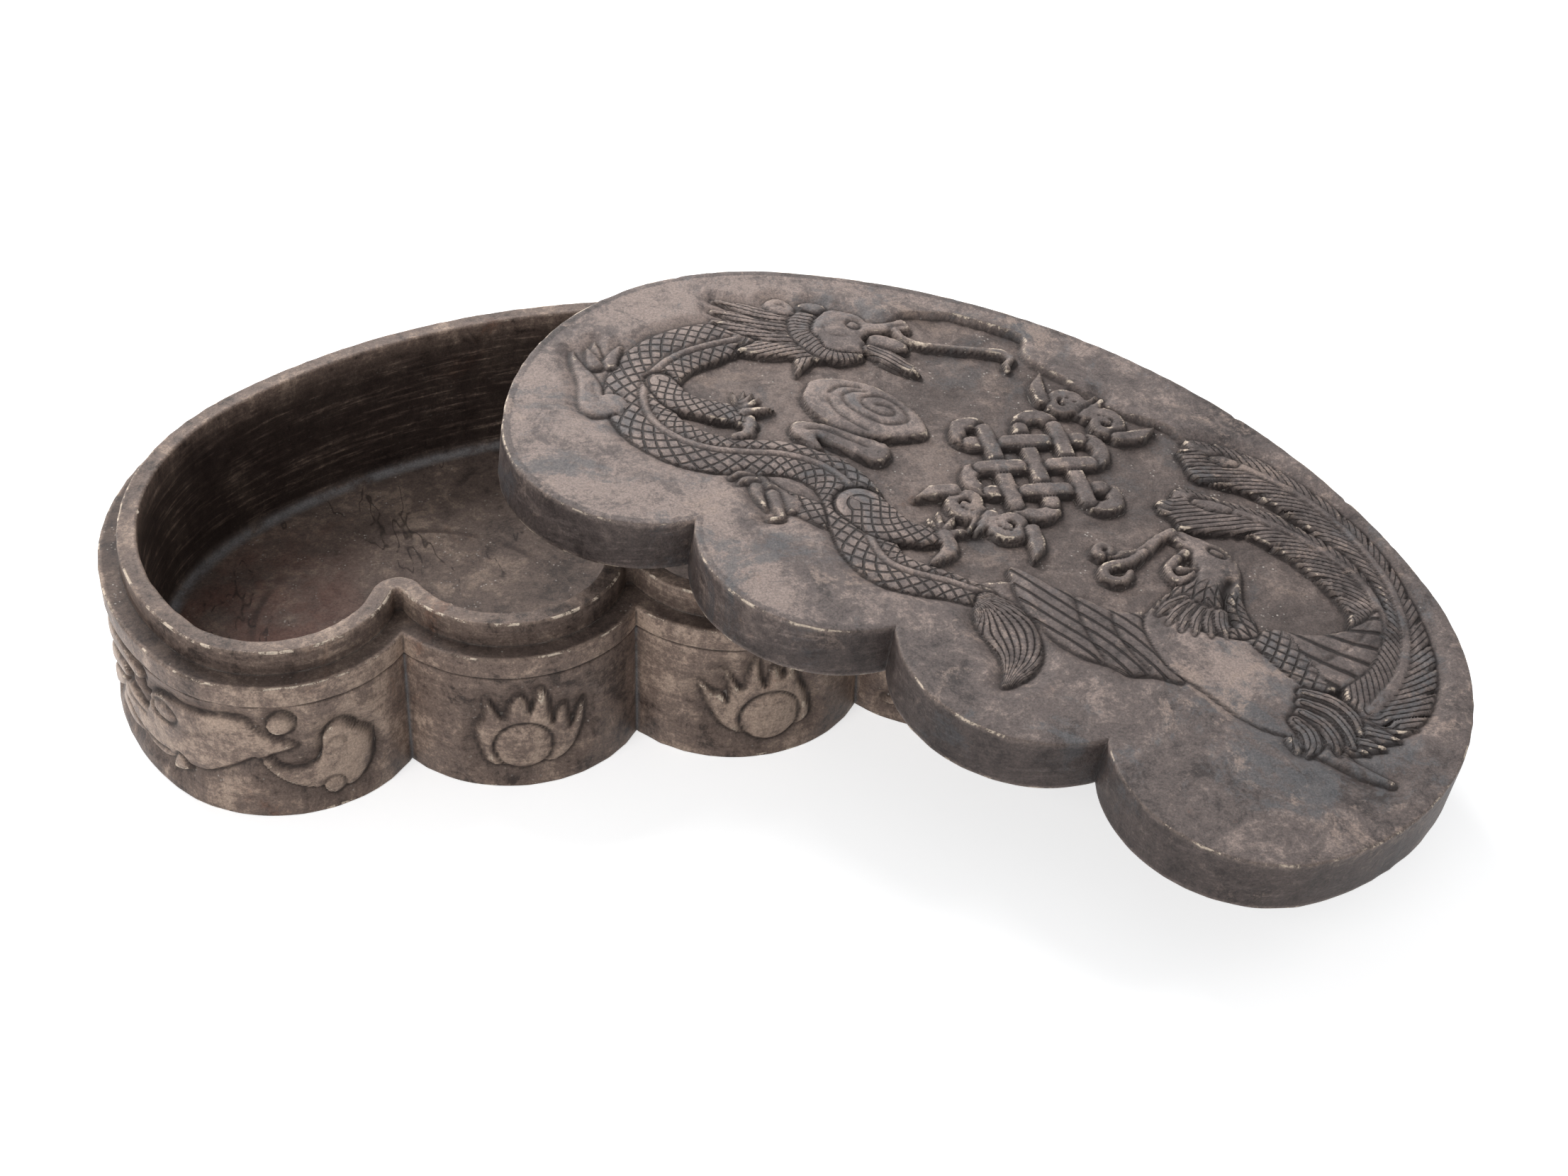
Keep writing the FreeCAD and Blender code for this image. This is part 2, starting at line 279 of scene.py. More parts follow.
def cusp_centre(lobe_r, mid_r):
    """Where circles about the end lobe's and middle lobe's centres cross in front."""
    apart = np.linalg.norm(lobe - mid)
    along = (mid_r**2 - lobe_r**2 + apart**2) / 2 / apart
    aside = math.sqrt(mid_r**2 - along**2)
    forward = (lobe - mid) / apart
    return mid + forward * along + np.array((forward[1], -forward[0])) * aside


def ring(inset):
    """The outline drawn in by an inset, from the middle cusp to the right and round."""
    turn = max(inset - SHARP_INSET, 0.0)
    lobe_r, mid_r = END_LOBE_RADIUS - inset, mid_radius - inset
    end_r, back_r = end_radius - inset, back_radius - inset
    mid_turn = np.array((0, mid[1] - math.sqrt((mid_r + turn) ** 2 - mid[0] ** 2)))
    side_turn = cusp_centre(lobe_r + turn, mid_r + turn)
    runs = [
        arc(mid_turn, turn, math.pi / 2, bearing(mid_turn, mid), COUNTS["turn"]),
        arc(mid, mid_r, bearing(mid, mid_turn), bearing(mid, side_turn), COUNTS["middle lobe"]),
        arc(side_turn, turn, bearing(side_turn, mid), bearing(side_turn, lobe), 2 * COUNTS["turn"]),
        arc(lobe, lobe_r, bearing(lobe, side_turn), bearing(end, lobe), COUNTS["end lobe"]),
        arc(end, end_r, bearing(end, lobe), bearing(back, end), COUNTS["end"]),
        arc(back, back_r, bearing(back, end), math.pi / 2, COUNTS["back"]),
    ]
    half = np.vstack(runs + [back + (0, back_r)])
    return np.vstack((half, half[-2:0:-1] * (-1, 1)))


def distance_round(points):
    """How far each point of a ring lies from the middle cusp, positive to the right."""
    steps = np.linalg.norm(np.diff(points, axis=0, append=points[:1]), axis=1)
    along = np.concatenate(([0], np.cumsum(steps)[:-1]))
    return np.where(along > steps.sum() / 2, along - steps.sum(), along), steps.sum()


print("points in a ring", len(ring(0)), "perimeter", round(distance_round(ring(0))[1], 1))

# %% [markdown]
# ## From rings to a mesh
# A hollowed piece is a stack of outlines, each bridged to the next with four-sided faces. Modifiers
# could extrude and bevel one outline, but a stack lets each ring have its own wobble and chips. Values
# such as how deep a spot is carved travel with the points as mesh attributes, because the stone
# material reads them later.

# %% Rings and worn edges
PEEK = 0.2  # how far further in the next outline is looked up, to shift a point along


def bridge(rings):
    """Four-sided faces between neighbouring rings, which all have the same number of points."""
    count = len(rings[0])
    this = np.arange(count)
    after = np.roll(this, -1)
    faces = [np.column_stack((this, after, after + count, this + count)) + row * count
             for row in range(len(rings) - 1)]
    return np.vstack(faces)


def ramp(value, low, high):
    """0 below low, 1 above high and smooth in between."""
    share = np.clip((value - low) / (high - low), 0, 1)
    return share * share * (3 - 2 * share)


def waver(places, period, longest, shortest, seed):
    """A smooth wandering line about 0, from waves that fit the period."""
    chance = np.random.default_rng(seed)
    total = np.zeros_like(places)
    waves = range(math.ceil(period / longest), math.ceil(period / shortest))
    for number in waves:
        angle = 2 * math.pi * number * places / period + chance.uniform(0, 2 * math.pi)
        total += chance.normal() * np.sin(angle)
    return total / math.sqrt(len(waves))


def swept(inset, height, inward=0.0, every=1):
    """A ring in space. Inward shifts each point further along the same family of outlines."""
    here = ring(inset)[::every]
    inside = ring(inset + PEEK)[::every]
    plan = here + (inside - here) / PEEK * np.reshape(inward, (-1, 1))
    return np.column_stack((plan, np.broadcast_to(height, len(plan))))


print("a ring in space", swept(0, 0).shape)


# %% A stack of rings
CHIPPED = 1.3  # where a waver passes this value, an edge begins to be chipped


class Stack:
    """Rings on one another. Each point of a ring has a value for every field."""

    def __init__(self, inset, names, every=1):
        self.around, self.period = distance_round(ring(inset)[::every])
        self.every, self.rings = every, []
        self.fields = {name: [] for name in names}

    def station(self, inset, height, inward=0.0, **values):
        self.rings.append(swept(inset, height, inward, self.every))
        for name, kept in self.fields.items():
            kept.append(np.broadcast_to(values.get(name, 0.0), len(self.around)))

    def dents(self, seeds, deep, longest, shortest):
        """Slow dents for several edges, from waves between two lengths."""
        wavers = [waver(self.around, self.period, longest, shortest, seed) for seed in seeds]
        return [deep * np.abs(line) for line in wavers]

    def chips(self, seeds, deep, longest, shortest, deepest_at):
        """Chips for several edges, where a wandering line is high."""
        wavers = [waver(self.around, self.period, longest, shortest, seed) for seed in seeds]
        return [deep * ramp(line, CHIPPED, deepest_at) for line in wavers]

    def last_ring(self):
        """The numbers of the topmost ring's points."""
        count = len(self.around)
        return list(range((len(self.rings) - 1) * count, len(self.rings) * count))

    def faces(self):
        """The faces between the rings, and one that closes the lowest ring."""
        return bridge(self.rings).tolist() + [list(range(len(self.around)))[::-1]]


trial = Stack(0, []).chips([1], deep=1, longest=18, shortest=2, deepest_at=2.5)[0]
print("chips take up", round(100 * float((trial > 0).mean())), "% of an edge")

# %% Meshes with attributes
SAME_SPOT = 1e-6
EDGE_BEND, NOOK_BEND = (0.04, 0.2), (0.03, 0.18)
SMOOTHING_ROUNDS = 2


def add_field(mesh, name, values):
    mesh.attributes.new(name, "FLOAT", "POINT").data.foreach_set("value", np.asarray(values, np.float32))


def make_mesh(name, points, faces, fields, material):
    """A smooth-shaded object from points in millimetres, with its attributes."""
    mesh = bpy.data.meshes.new(name)
    mesh.from_pydata((points * MM).tolist(), [], faces)
    for name_of_field, values in fields.items():
        add_field(mesh, name_of_field, values)
    thing = bpy.data.objects.new(name, mesh)
    bpy.context.scene.collection.objects.link(thing)
    weld = thing.modifiers.new("weld", "WELD")
    weld.merge_threshold = SAME_SPOT
    seen = thing.evaluated_get(bpy.context.evaluated_depsgraph_get())
    welded = bpy.data.meshes.new_from_object(seen)
    thing.modifiers.clear()
    thing.data = welded
    welded.name = name
    welded.materials.append(material)
    welded.shade_smooth()
    return thing


def spread_to(count, first, second, over_first, over_second):
    """For each point, the sum over its edges of a value, taken from the edges' ends."""
    return np.bincount(first, over_first, count) + np.bincount(second, over_second, count)


def add_edges(thing):
    """Writes how sharply each point sticks out (edge) or lies in a corner (nook)."""
    mesh = thing.data
    points = np.empty((len(mesh.vertices), 3), np.float32)
    normals = np.empty((len(mesh.vertices), 3), np.float32)
    pairs = np.empty((len(mesh.edges), 2), np.int32)
    mesh.vertices.foreach_get("co", points.ravel())
    mesh.vertex_normals.foreach_get("vector", normals.ravel())
    mesh.edges.foreach_get("vertices", pairs.ravel())
    first, second = pairs.T
    step = points[second] - points[first]
    length = np.linalg.norm(step, axis=1)

    def average(over_first, over_second):
        return spread_to(len(points), first, second, over_first, over_second) / np.maximum(total, 1)

    ones = np.ones(len(pairs))
    total = spread_to(len(points), first, second, ones, ones)
    bend = average(np.sum(step * normals[first], axis=1) / length,
                   -np.sum(step * normals[second], axis=1) / length)
    for _ in range(SMOOTHING_ROUNDS):
        bend = (bend + average(bend[second], bend[first])) / 2
    add_field(mesh, "edge", ramp(-bend, *EDGE_BEND))
    add_field(mesh, "nook", ramp(bend, *NOOK_BEND))


print("mesh helpers ready")

# %% [markdown]
# ## Carving as a height map
# A carver sinks the ground round a figure and leaves the figure standing at about the old surface,
# then rounds it and cuts lines into it. Cutting solids from one another could do this too, but it is
# slow and fails easily with hundreds of shapes. The same order works on a grid of heights. A patch is
# a closed shape, a ribbon follows a line and swells and tapers, and a groove is a cut. Each new shape
# slices a narrow shadow into what it lies on. Fine lines, such as hairs, scales and barbs, would need
# a very fine grid. They are kept as a phase that grows by one from line to line: the grid holds it
# smoothly, and the material draws a crisp line wherever it passes a whole number.

# %% Curves through chosen points
def smooth(points, closed=False, spacing=0.9):
    """A curve through points, about evenly filled in."""
    points = np.asarray(points, float)
    if closed:
        control = np.vstack((points[-1:], points, points[:2]))
    else:
        control = np.vstack((2 * points[0] - points[1], points, 2 * points[-1] - points[-2]))
    pieces = []
    for before, start, stop, after in zip(control, control[1:], control[2:], control[3:]):
        count = max(int(np.linalg.norm(stop - start) / spacing), 1)
        share = np.linspace(0, 1, count, endpoint=False)[:, None]
        cubic = (-before + 3 * start - 3 * stop + after) * share**3
        square = (2 * before - 5 * start + 4 * stop - after) * share**2
        pieces.append((cubic + square + (stop - before) * share) / 2 + start)
    last = points[:1] if closed else points[-1:]
    return np.vstack(pieces + [last])


def spiral(centre, start_radius, end_radius, start_turn, turns, count=14):
    """Points of a spiral. Turns may be negative, for clockwise."""
    share = np.linspace(0, 1, count)
    radius = start_radius + (end_radius - start_radius) * share
    angle = 2 * math.pi * (start_turn + turns * share)
    return np.asarray(centre) + np.column_stack((radius * np.cos(angle), radius * np.sin(angle)))


print("a turn of a spiral has", len(spiral((0, 0), 2, 1, 0, 1)), "points")

# %% The carver's bench
EDGE_WIDTH = 0.3  # half of the step from a figure's face down to the ground
SHADOW_REACH, SHADOW_ON_GROUND = 0.7, 0.4  # the slice cut beside a shape, weaker on bare ground
FAR = 99.0
SHADE_ON_STEPS, SHADE_IN_CUTS = 5, 1.5  # how dark the painted shade makes steps and cuts
GROUND_GRAIN = ((3, 0.07), (9, 0.12))  # chisel marks on the ground: cells across, and height


class Relief:
    """Carving on a flat grid, in millimetres below the uncut face."""

    def __init__(self, low, high, step):
        across = np.arange(low[0], high[0] + step, step)
        up = np.arange(low[1], high[1] + step, step)
        self.step, self.low = step, np.asarray(low, float)
        self.x, self.y = np.meshgrid(across, up)
        blank = np.zeros((6, *self.x.shape))
        self.figure, self.cover, self.cuts, self.lines, self.phase, self.phase2 = blank

    def window(self, points, reach):
        """The part of the grid that lies within reach of some points."""
        first = np.floor((points.min(0) - reach - self.low) / self.step).astype(int)
        last = np.ceil((points.max(0) + reach - self.low) / self.step).astype(int)
        (x0, y0), (x1, y1) = np.maximum(first, 0), np.maximum(last, 1)
        return np.s_[y0:y1, x0:x1]

    def track(self, points, reach=0.0, closed=False, window=None):
        """For each spot: how far it is from a curve and along it, its side, and if it's inside."""
        curve = smooth(points, closed)
        window = window or self.window(curve, reach)
        x, y = self.x[window], self.y[window]
        near = np.full(x.shape, np.inf)
        along, side, inside = np.zeros_like(x), np.ones_like(x), np.zeros(x.shape, bool)
        travelled = 0.0
        for (ax, ay), (bx, by) in zip(curve, curve[1:]):
            dx, dy = bx - ax, by - ay
            length = math.hypot(dx, dy)
            if length == 0:
                continue
            share = np.clip(((x - ax) * dx + (y - ay) * dy) / length**2, 0, 1)
            off_x, off_y = x - ax - share * dx, y - ay - share * dy
            distance = np.hypot(off_x, off_y)
            closer = distance < near
            near = np.where(closer, distance, near)
            along = np.where(closer, travelled + share * length, along)
            side = np.where(closer, np.sign(dx * off_y - dy * off_x), side)
            if closed and dy:
                inside ^= ((ay > y) != (by > y)) & (x < ax + (y - ay) / dy * dx)
            travelled += length
        return window, near, along, side, inside, travelled

    def stamp(self, window, inside, height, undercut):
        """Lays a shape on what is there. Inside is how deep in it a spot lies, negative outside."""
        cover = ramp(inside, -EDGE_WIDTH, EDGE_WIDTH)
        falloff = np.exp(-np.square(np.minimum(inside, 0) / SHADOW_REACH))
        shadow = undercut * falloff * (SHADOW_ON_GROUND + (1 - SHADOW_ON_GROUND) * self.cover[window])
        self.cuts[window] = np.maximum(self.cuts[window], shadow) * (1 - cover)
        self.figure[window] += (height - self.figure[window]) * cover
        self.cover[window] = np.maximum(self.cover[window], cover)
        self.lines[window] *= 1 - cover
        return cover

    def patch(self, outline, level=0.0, crown=0.6, reach=2.5, undercut=0.5):
        """A closed shape that rounds down towards its edge."""
        window, near, _, _, inside, _ = self.track(outline, 3.0, closed=True)
        depth = np.where(inside, near, -near)
        height = -level - crown * (1 - ramp(depth, -0.4 * reach, reach))
        return window, self.stamp(window, depth, height, undercut)

    def ribbon(self, line, widths, level=0.0, crown=0.6, undercut=0.5):
        """A strip along a line, with its half-widths spaced evenly from end to end."""
        window, near, along, side, _, total = self.track(line, max(widths) + 2.0)
        half = np.interp(along / total, np.linspace(0, 1, len(widths)), widths)
        height = -level - 0.7 * crown * np.minimum(near / np.maximum(half, 0.3), 1) ** 3
        cover = self.stamp(window, half - near, height, undercut)
        return window, cover, along, side * near

    def groove(self, line, width=1.0, depth=0.5, tapered=True):
        """A cut with sloping sides, which starts and ends shallow."""
        window, near, along, _, _, total = self.track(line, width)
        ends = ramp(np.minimum(along, total - along), -0.2, 1.6) if tapered else 1
        cut = depth * np.clip(1 - near / (width / 2 + 0.25), 0, 1) * ends
        self.cuts[window] = np.maximum(self.cuts[window], cut)

    def engrave(self, window, strength, phase, phase2=None, depth=0.2):
        """Fine lines where a phase, or a second one, passes a whole number."""
        inked = strength > 0.02
        phase2 = phase if phase2 is None else phase2
        self.phase[window] = np.where(inked, phase, self.phase[window])
        self.phase2[window] = np.where(inked, phase2, self.phase2[window])
        self.lines[window] = np.maximum(self.lines[window], strength)
        wave = np.minimum(np.abs(phase - np.round(phase)), np.abs(phase2 - np.round(phase2)))
        self.cuts[window] += depth * strength * (1 - ramp(wave, 0.0, 0.24))

    def finished(self, depth, fade, moat, panels=(), seed=1):
        """Heights over the whole grid, with the ground sunk round the figures and in the panels."""
        reach = np.where(self.cover > 0.5, 0.0, FAR)
        for _ in range(int(fade / self.step) + 2):
            padded = np.pad(reach, 1, mode="edge")
            aside = np.minimum(padded[:, 2:], padded[:, :-2])
            straight = np.minimum.reduce((aside[1:-1], padded[2:, 1:-1], padded[:-2, 1:-1]))
            slanted = np.minimum(aside[2:], aside[:-2])
            reach = np.minimum.reduce((reach, straight + self.step, slanted + self.step * math.sqrt(2)))
        sunk = moat * (1 - ramp(reach, 0, fade))
        for outline in panels:
            window, near, _, _, inside, _ = self.track(outline, 3.0, closed=True)
            panel = ramp(np.where(inside, near, -near), -0.1, 0.9)
            sunk[window] = np.maximum(sunk[window], panel)
        self.sunk = sunk * (1 - self.cover)
        # Painted shade: the steps from each figure down to the ground, and every cut, are painted dark.
        steps = self.cover * (1 - self.cover) * sunk
        self.raw = np.clip(SHADE_ON_STEPS * steps + SHADE_IN_CUTS * self.cuts, 0, 1)
        rough = sum(high * grain(self.x.shape, cell, seed + turn)
                    for turn, (cell, high) in enumerate(GROUND_GRAIN))
        ground = -depth * sunk + rough * sunk
        height = ground * (1 - self.cover) + self.figure * self.cover - self.cuts
        return np.minimum(height, 0)

    def sample(self, grid, x, y):
        """A grid's values at any places, read between its points."""
        column = np.clip((np.asarray(x) - self.low[0]) / self.step, 0, grid.shape[1] - 1.001)
        row = np.clip((np.asarray(y) - self.low[1]) / self.step, 0, grid.shape[0] - 1.001)
        i, j = row.astype(int), column.astype(int)
        v, u = row - i, column - j
        top = grid[i + 1, j] * (1 - u) + grid[i + 1, j + 1] * u
        return (grid[i, j] * (1 - u) + grid[i, j + 1] * u) * (1 - v) + top * v


def grain(shape, cell, seed):
    """Smooth random bumps about 0, a cell of the grid wide."""
    coarse = np.random.default_rng(seed).normal(size=(shape[0] // cell + 3, shape[1] // cell + 3))
    rows = np.linspace(0, shape[0] / cell, shape[0])
    columns = np.linspace(0, shape[1] / cell, shape[1])
    i, j = rows.astype(int), columns.astype(int)
    v, u = ramp(rows - i, 0, 1)[:, None], ramp(columns - j, 0, 1)
    low = coarse[i][:, j] * (1 - u) + coarse[i][:, j + 1] * u
    return low * (1 - v) + (coarse[i + 1][:, j] * (1 - u) + coarse[i + 1][:, j + 1] * u) * v


print("carving helpers ready")

# %% [markdown]
# ## The box's wall
# The wall is carved all round under a smooth band. From left to right the front has a scroll that ends
# in an animal's head, with balls about it, and flaming pearls on the lobes. The side that the picture
# doesn't show goes on with plain cloud scrolls, which such boxes have. Figures could be modelled one
# by one and bent round the wall, but a bent figure seldom meets its ground cleanly. So the wall is
# carved unrolled: along it runs the distance from the middle cusp, and up it the height.

# %% The unrolled wall
WALL_INSET, BAND_FOOT, LEDGE = 0.4, 31.3, 36.6
WALL_DEPTH, WALL_STEP = 1.5, 0.5
MOAT, MOAT_FADE = 1.0, 6.0  # the ground is sunk by this share beside a figure, and rises again
AROUND_WALL, PERIMETER = distance_round(ring(WALL_INSET))
SIDE_CUSP_AT = AROUND_WALL[2 * COUNTS["turn"] + COUNTS["middle lobe"]]
wall = Relief((-PERIMETER / 2, 0), (PERIMETER / 2, BAND_FOOT), WALL_STEP)


def disc(centre, radius, squash=1.0, count=16):
    return spiral((0, 0), radius, radius, 0, 1 - 1 / count, count) * (1, squash) + np.asarray(centre)


def report(relief, what):
    print(what, "carved, figures cover", round(100 * float(relief.cover.mean())), "% so far")


print("unrolled wall", round(float(PERIMETER), 1), "mm long")


# %% The scroll with a head
def carve_head_scroll():
    """The scroll on the left end lobe: ribbons that gather into a beaked head, a ball and a curl."""
    for line in ([(-186, 2), (-176, 7), (-165, 17), (-153, 24), (-141, 26.5), (-133, 26)],
                 [(-178, 1), (-167, 7.5), (-157, 14.5), (-149, 19), (-141, 21)],
                 [(-168, 1.5), (-159, 7), (-151, 12.5), (-143, 16.5)]):
        wall.ribbon(line, (1.2, 2.4, 2.6, 1.6), crown=0.5, undercut=0.8)
    wall.patch([(-146, 12), (-140, 18.5), (-131, 17.5), (-128, 23.5), (-121, 26), (-112, 26.3),
                (-105, 27.4), (-101, 26.4), (-97, 22.6), (-91.2, 19.4), (-96.5, 17.4), (-98, 15.6),
                (-100, 16.6), (-106, 13.2), (-112, 10.2), (-119, 9.6), (-126, 7.4), (-134, 8),
                (-141, 6.5), (-148, 8)], crown=0.45, reach=3)
    wall.patch(disc((-123, 21.3), 4.1, 0.55), crown=0.5, reach=1.5, undercut=0.9)
    wall.groove([(-135, 24.5), (-131, 22.2), (-127.5, 21.6)], 1.6, 0.9)
    wall.groove([(-143, 12.6), (-136, 10), (-129, 9.4), (-121.5, 10.4)], 1.2, 0.7)
    wall.groove([(-142, 17), (-137, 15.6), (-130, 15.4)], 1.0, 0.4)
    wall.patch([(-121.8, 6.6), (-119.4, 11.4), (-116.4, 8.2)], crown=0.2, reach=1, undercut=0.8)
    wall.groove([(-117, 19), (-110, 21.5), (-104, 24.5)], 0.8, 0.25)
    wall.patch([(-98.5, 15.4), (-96.6, 16.2), (-95.4, 14), (-91, 12.7), (-86.6, 14), (-85.3, 17),
                (-85, 20.6), (-83, 23), (-80.4, 23.2), (-78, 21), (-75.2, 18.6), (-73.7, 16), (-73.6, 11),
                (-76, 6.5), (-80, 4.6), (-86, 6.4), (-91, 8), (-95.3, 11)], crown=0.4, reach=3,
               undercut=0.9)
    wall.groove([(-84.5, 17.5), (-82, 19.8), (-79.5, 19), (-79.6, 16.4)], 1.0, 0.4)
    wall.patch(disc((-94, 25.5), 2.8), crown=0.6, reach=2, undercut=0.9)
    wall.patch(disc((-83, 6.3), 2.4), crown=0.35, reach=1.6, undercut=0.7)


carve_head_scroll()
report(wall, "scroll")

# %% Flaming pearls
FLAMES_LEFT = [(-41, 9.5), (-42.2, 16), (-40.4, 19.5), (-39.7, 24.6), (-38.3, 22), (-36.2, 19.2),
               (-34.8, 21.8), (-33.4, 25.6), (-31.4, 24.6), (-30.3, 20.4), (-29.2, 23.2), (-28.2, 26.8),
               (-26.8, 25), (-25.3, 16.6), (-24.2, 19.6), (-22.6, 21.2), (-21.3, 14.6), (-19.8, 17.8),
               (-18, 20.6), (-19, 13), (-24, 6.5), (-38, 6)]
FLAMES_RIGHT = [(23.5, 8), (19, 14.5), (17.1, 20.8), (19.6, 18.6), (22.2, 17.9), (23.1, 15.6), (23.8, 20),
                (22.3, 25.2), (24.6, 21.6), (26.3, 19.3), (27.4, 21.8), (29.4, 27.6), (30.8, 21.2),
                (32, 19.8), (33.3, 24.8), (36, 21.6), (37.4, 25), (39.2, 20), (41.4, 14), (41.8, 8),
                (33, 6)]


def carve_pearl(flames, centre, radius):
    """A domed pearl in front of a fan of flames."""
    wall.patch(flames, crown=0.35, reach=2, undercut=0.6)
    wall.patch(disc(centre, radius), level=-0.05, crown=0.75, reach=4, undercut=1.1)


carve_pearl(FLAMES_LEFT, (-32, 11.2), 6.3)
carve_pearl(FLAMES_RIGHT, (32.7, 11), 6.7)
report(wall, "pearls")


# %% Cloud scrolls on the unseen side
def carve_cloud_scroll(start, way):
    """One turn of the running scroll on the unseen side, to the right or left."""
    def at(points):
        return [(start + way * x, y) for x, y in points]

    back_line = [(0, 5), (8, 9), (17, 17), (27, 23), (37, 24), (45, 19)]
    wall.ribbon(at(back_line), (0.8, 2.6, 3.2, 2.8, 1.2), crown=0.45)
    wall.ribbon(at(spiral((30, 13), 1.4, 7.2, 0.1, 1.45)[::-1]), (1.7, 1.9, 1.5, 0.9), crown=0.45)
    wall.ribbon(at([(5, 25), (11, 27), (19, 27.5), (24, 26)]), (0.5, 1.8, 0.6), crown=0.4)
    wall.patch(disc((start + way * 44, 8.5), 2.3), crown=0.5, reach=1.8)


for number in range(3):
    carve_cloud_scroll(-193 - 42 * number, -1)
for number in range(5):
    carve_cloud_scroll(70 + 50 * number, 1)
report(wall, "cloud scrolls")
WALL_HEIGHTS = wall.finished(WALL_DEPTH, MOAT_FADE, MOAT, seed=11)
print("wall carved,", WALL_HEIGHTS.shape, "deepest", round(float(WALL_HEIGHTS.min()), 2), "mm")

# %% [markdown]
# ## The box
# The box is hollowed from one block: a wall with a ledge on top, a raised lip inside the ledge, and a
# deep hollow. Cutting one solid from another would give the same form with edges like a machine's. A
# stack of rings, here called stations, does better. They go up the outside, over the band and the
# ledge, up the lip and down into the hollow. Small steps beside each corner make a worn, rounded edge.
# Slow waves and chips move the edges, always inwards, so that the stone never grows past its size.

# %% Stations of the box
LIP_OUT, HOLLOW_IN = LEDGE_WIDTH, 9.3
FLOOR, SWEEP = 6.0, 2.5
FIRST_ROW, ROW = 0.9, 0.56
BARE_BY_CUSP, CREASE = (2.5, 7), (0.9, 0.3)  # millimetres from a cusp
WALL_RUB, FIGURE_RUB = 0.15, 0.6
BOX_DENTS = (0.12, 90, 9)  # how deep, and the longest and the shortest wave
BOX_CHIPS = (0.55, 16, 1.8, 2.6)  # the same, and where a chip is deepest


def make_base(material):
    stack = Stack(WALL_INSET, ("cut", "raw", "rub", "lines", "phase", "phase2", "dust", "floor"))
    station, around = stack.station, stack.around
    cusps = np.array((-SIDE_CUSP_AT, 0, SIDE_CUSP_AT))
    from_cusp = np.abs(around[:, None] - cusps).min(axis=1)
    clear = ramp(from_cusp, *BARE_BY_CUSP)
    crease = ramp(from_cusp, *CREASE)
    slow = stack.dents(range(6), *BOX_DENTS)
    chips = stack.chips(range(20, 26), *BOX_CHIPS)
    # The foot, and the carved wall row by row, with painted shade at its steps and cuts.
    station(6.0, 0.0)
    station(1.1, 0.0)
    station(0.6, 0.08, slow[0])
    station(0.42, 0.35, slow[0] + chips[0])
    for height in np.arange(FIRST_ROW, BAND_FOOT - 0.5, ROW):
        grids = (-WALL_HEIGHTS, wall.sunk, wall.raw, wall.cover)
        level = np.full_like(around, height)
        depth, sunk, raw, figure = (wall.sample(grid, around, level) * clear for grid in grids)
        station(WALL_INSET, height, depth + slow[0] * ramp(height, 8, 0), cut=sunk, raw=raw,
                rub=WALL_RUB + FIGURE_RUB * figure, dust=crease)
    # The smooth band, with painted shade under its foot, and the ledge on top of the wall, painted darker
    # as shade.
    station(0.85, BAND_FOOT - 0.35, raw=0.5)
    station(0.5, BAND_FOOT - 0.05, slow[1])
    station(0.14, BAND_FOOT + 0.12, slow[1] + chips[1], rub=0.3)
    station(0.0, BAND_FOOT + 0.5, slow[1], rub=0.35)
    station(0.0, BAND_FOOT + 1.6, slow[1] * 0.6 + slow[2] * 0.4, rub=0.35)
    station(0.0, LEDGE - 1.6, slow[1] * 0.3 + slow[2] * 0.7, rub=0.3)
    station(0.0, LEDGE - 0.45, slow[2], rub=0.3)
    station(0.12, LEDGE - 0.13, slow[2] + chips[2])
    station(0.45, LEDGE, slow[2] + chips[2] * 0.5)
    for inset in (1.2, 2.4, 3.4, 4.2):
        station(inset, LEDGE - slow[3] * 0.4, cut=0.8, raw=0.45)
    # The lip, whose top wavers most. Its outer wall is painted darker as shade, most towards its foot,
    # and its top a little.
    station(LIP_OUT - 0.1, LEDGE + 0.05, cut=0.3)
    station(LIP_OUT, LEDGE + 0.3, cut=0.3)
    for height in (1.2, 2.6, 4.0, 5.2):
        station(LIP_OUT, LEDGE + height, slow[4] * height / 9, raw=0.55 - 0.06 * height)
    station(LIP_OUT + 0.06, BOX_TOP - 0.3, slow[4])
    station(LIP_OUT + 0.3, BOX_TOP - 0.06, slow[4] + chips[3])
    for inset in (5.6, 6.6, 7.6):
        station(inset, BOX_TOP - slow[5] * 0.7, raw=0.2)
    inner = 0.5 + slow[5] * 2.5
    for share in (0.0, 0.25, 0.5, 0.75, 1.0):
        turn = share * math.pi / 2
        drop = (1 - math.cos(turn)) * 1.1 * inner + slow[5] * 0.7 * (1 - share)
        station(HOLLOW_IN - 0.9, BOX_TOP - drop,
                math.sin(turn) * 0.9 + chips[4] * (1 - abs(2 * share - 1)))
    # The hollow, with a sweep from its wall to the floor. Its walls are painted nearly black as shade,
    # which fades down the sweep, and a pale line of dusting and painted sheen runs along the sweep.
    for height in (38.5, 34, 28, 22, 16, 11.5, FLOOR + SWEEP):
        station(HOLLOW_IN, height, raw=0.9 * ramp(height, BOX_TOP - 1, BOX_TOP - 6))
    for share in (0.2, 0.4, 0.6, 0.8, 1.0):
        turn = share * math.pi / 2
        station(HOLLOW_IN + SWEEP * (1 - math.cos(turn)), FLOOR + SWEEP * (1 - math.sin(turn)),
                raw=0.9 - 0.6 * share, cut=share, dust=ramp(share, 0.3, 0.7) * ramp(share, 1.2, 0.9))
    station(HOLLOW_IN + SWEEP + 1.5, FLOOR, raw=0.2, cut=1.0, floor=1.0)
    station(HOLLOW_IN + SWEEP + 4.0, FLOOR, raw=0.1, cut=1.0, floor=1.0)

    faces = stack.faces() + [stack.last_ring()]
    joined = {name: np.concatenate(kept) for name, kept in stack.fields.items()}
    thing = make_mesh("carved_box", np.vstack(stack.rings), faces, joined, material)
    add_edges(thing)
    return thing


print("stations of the box ready")

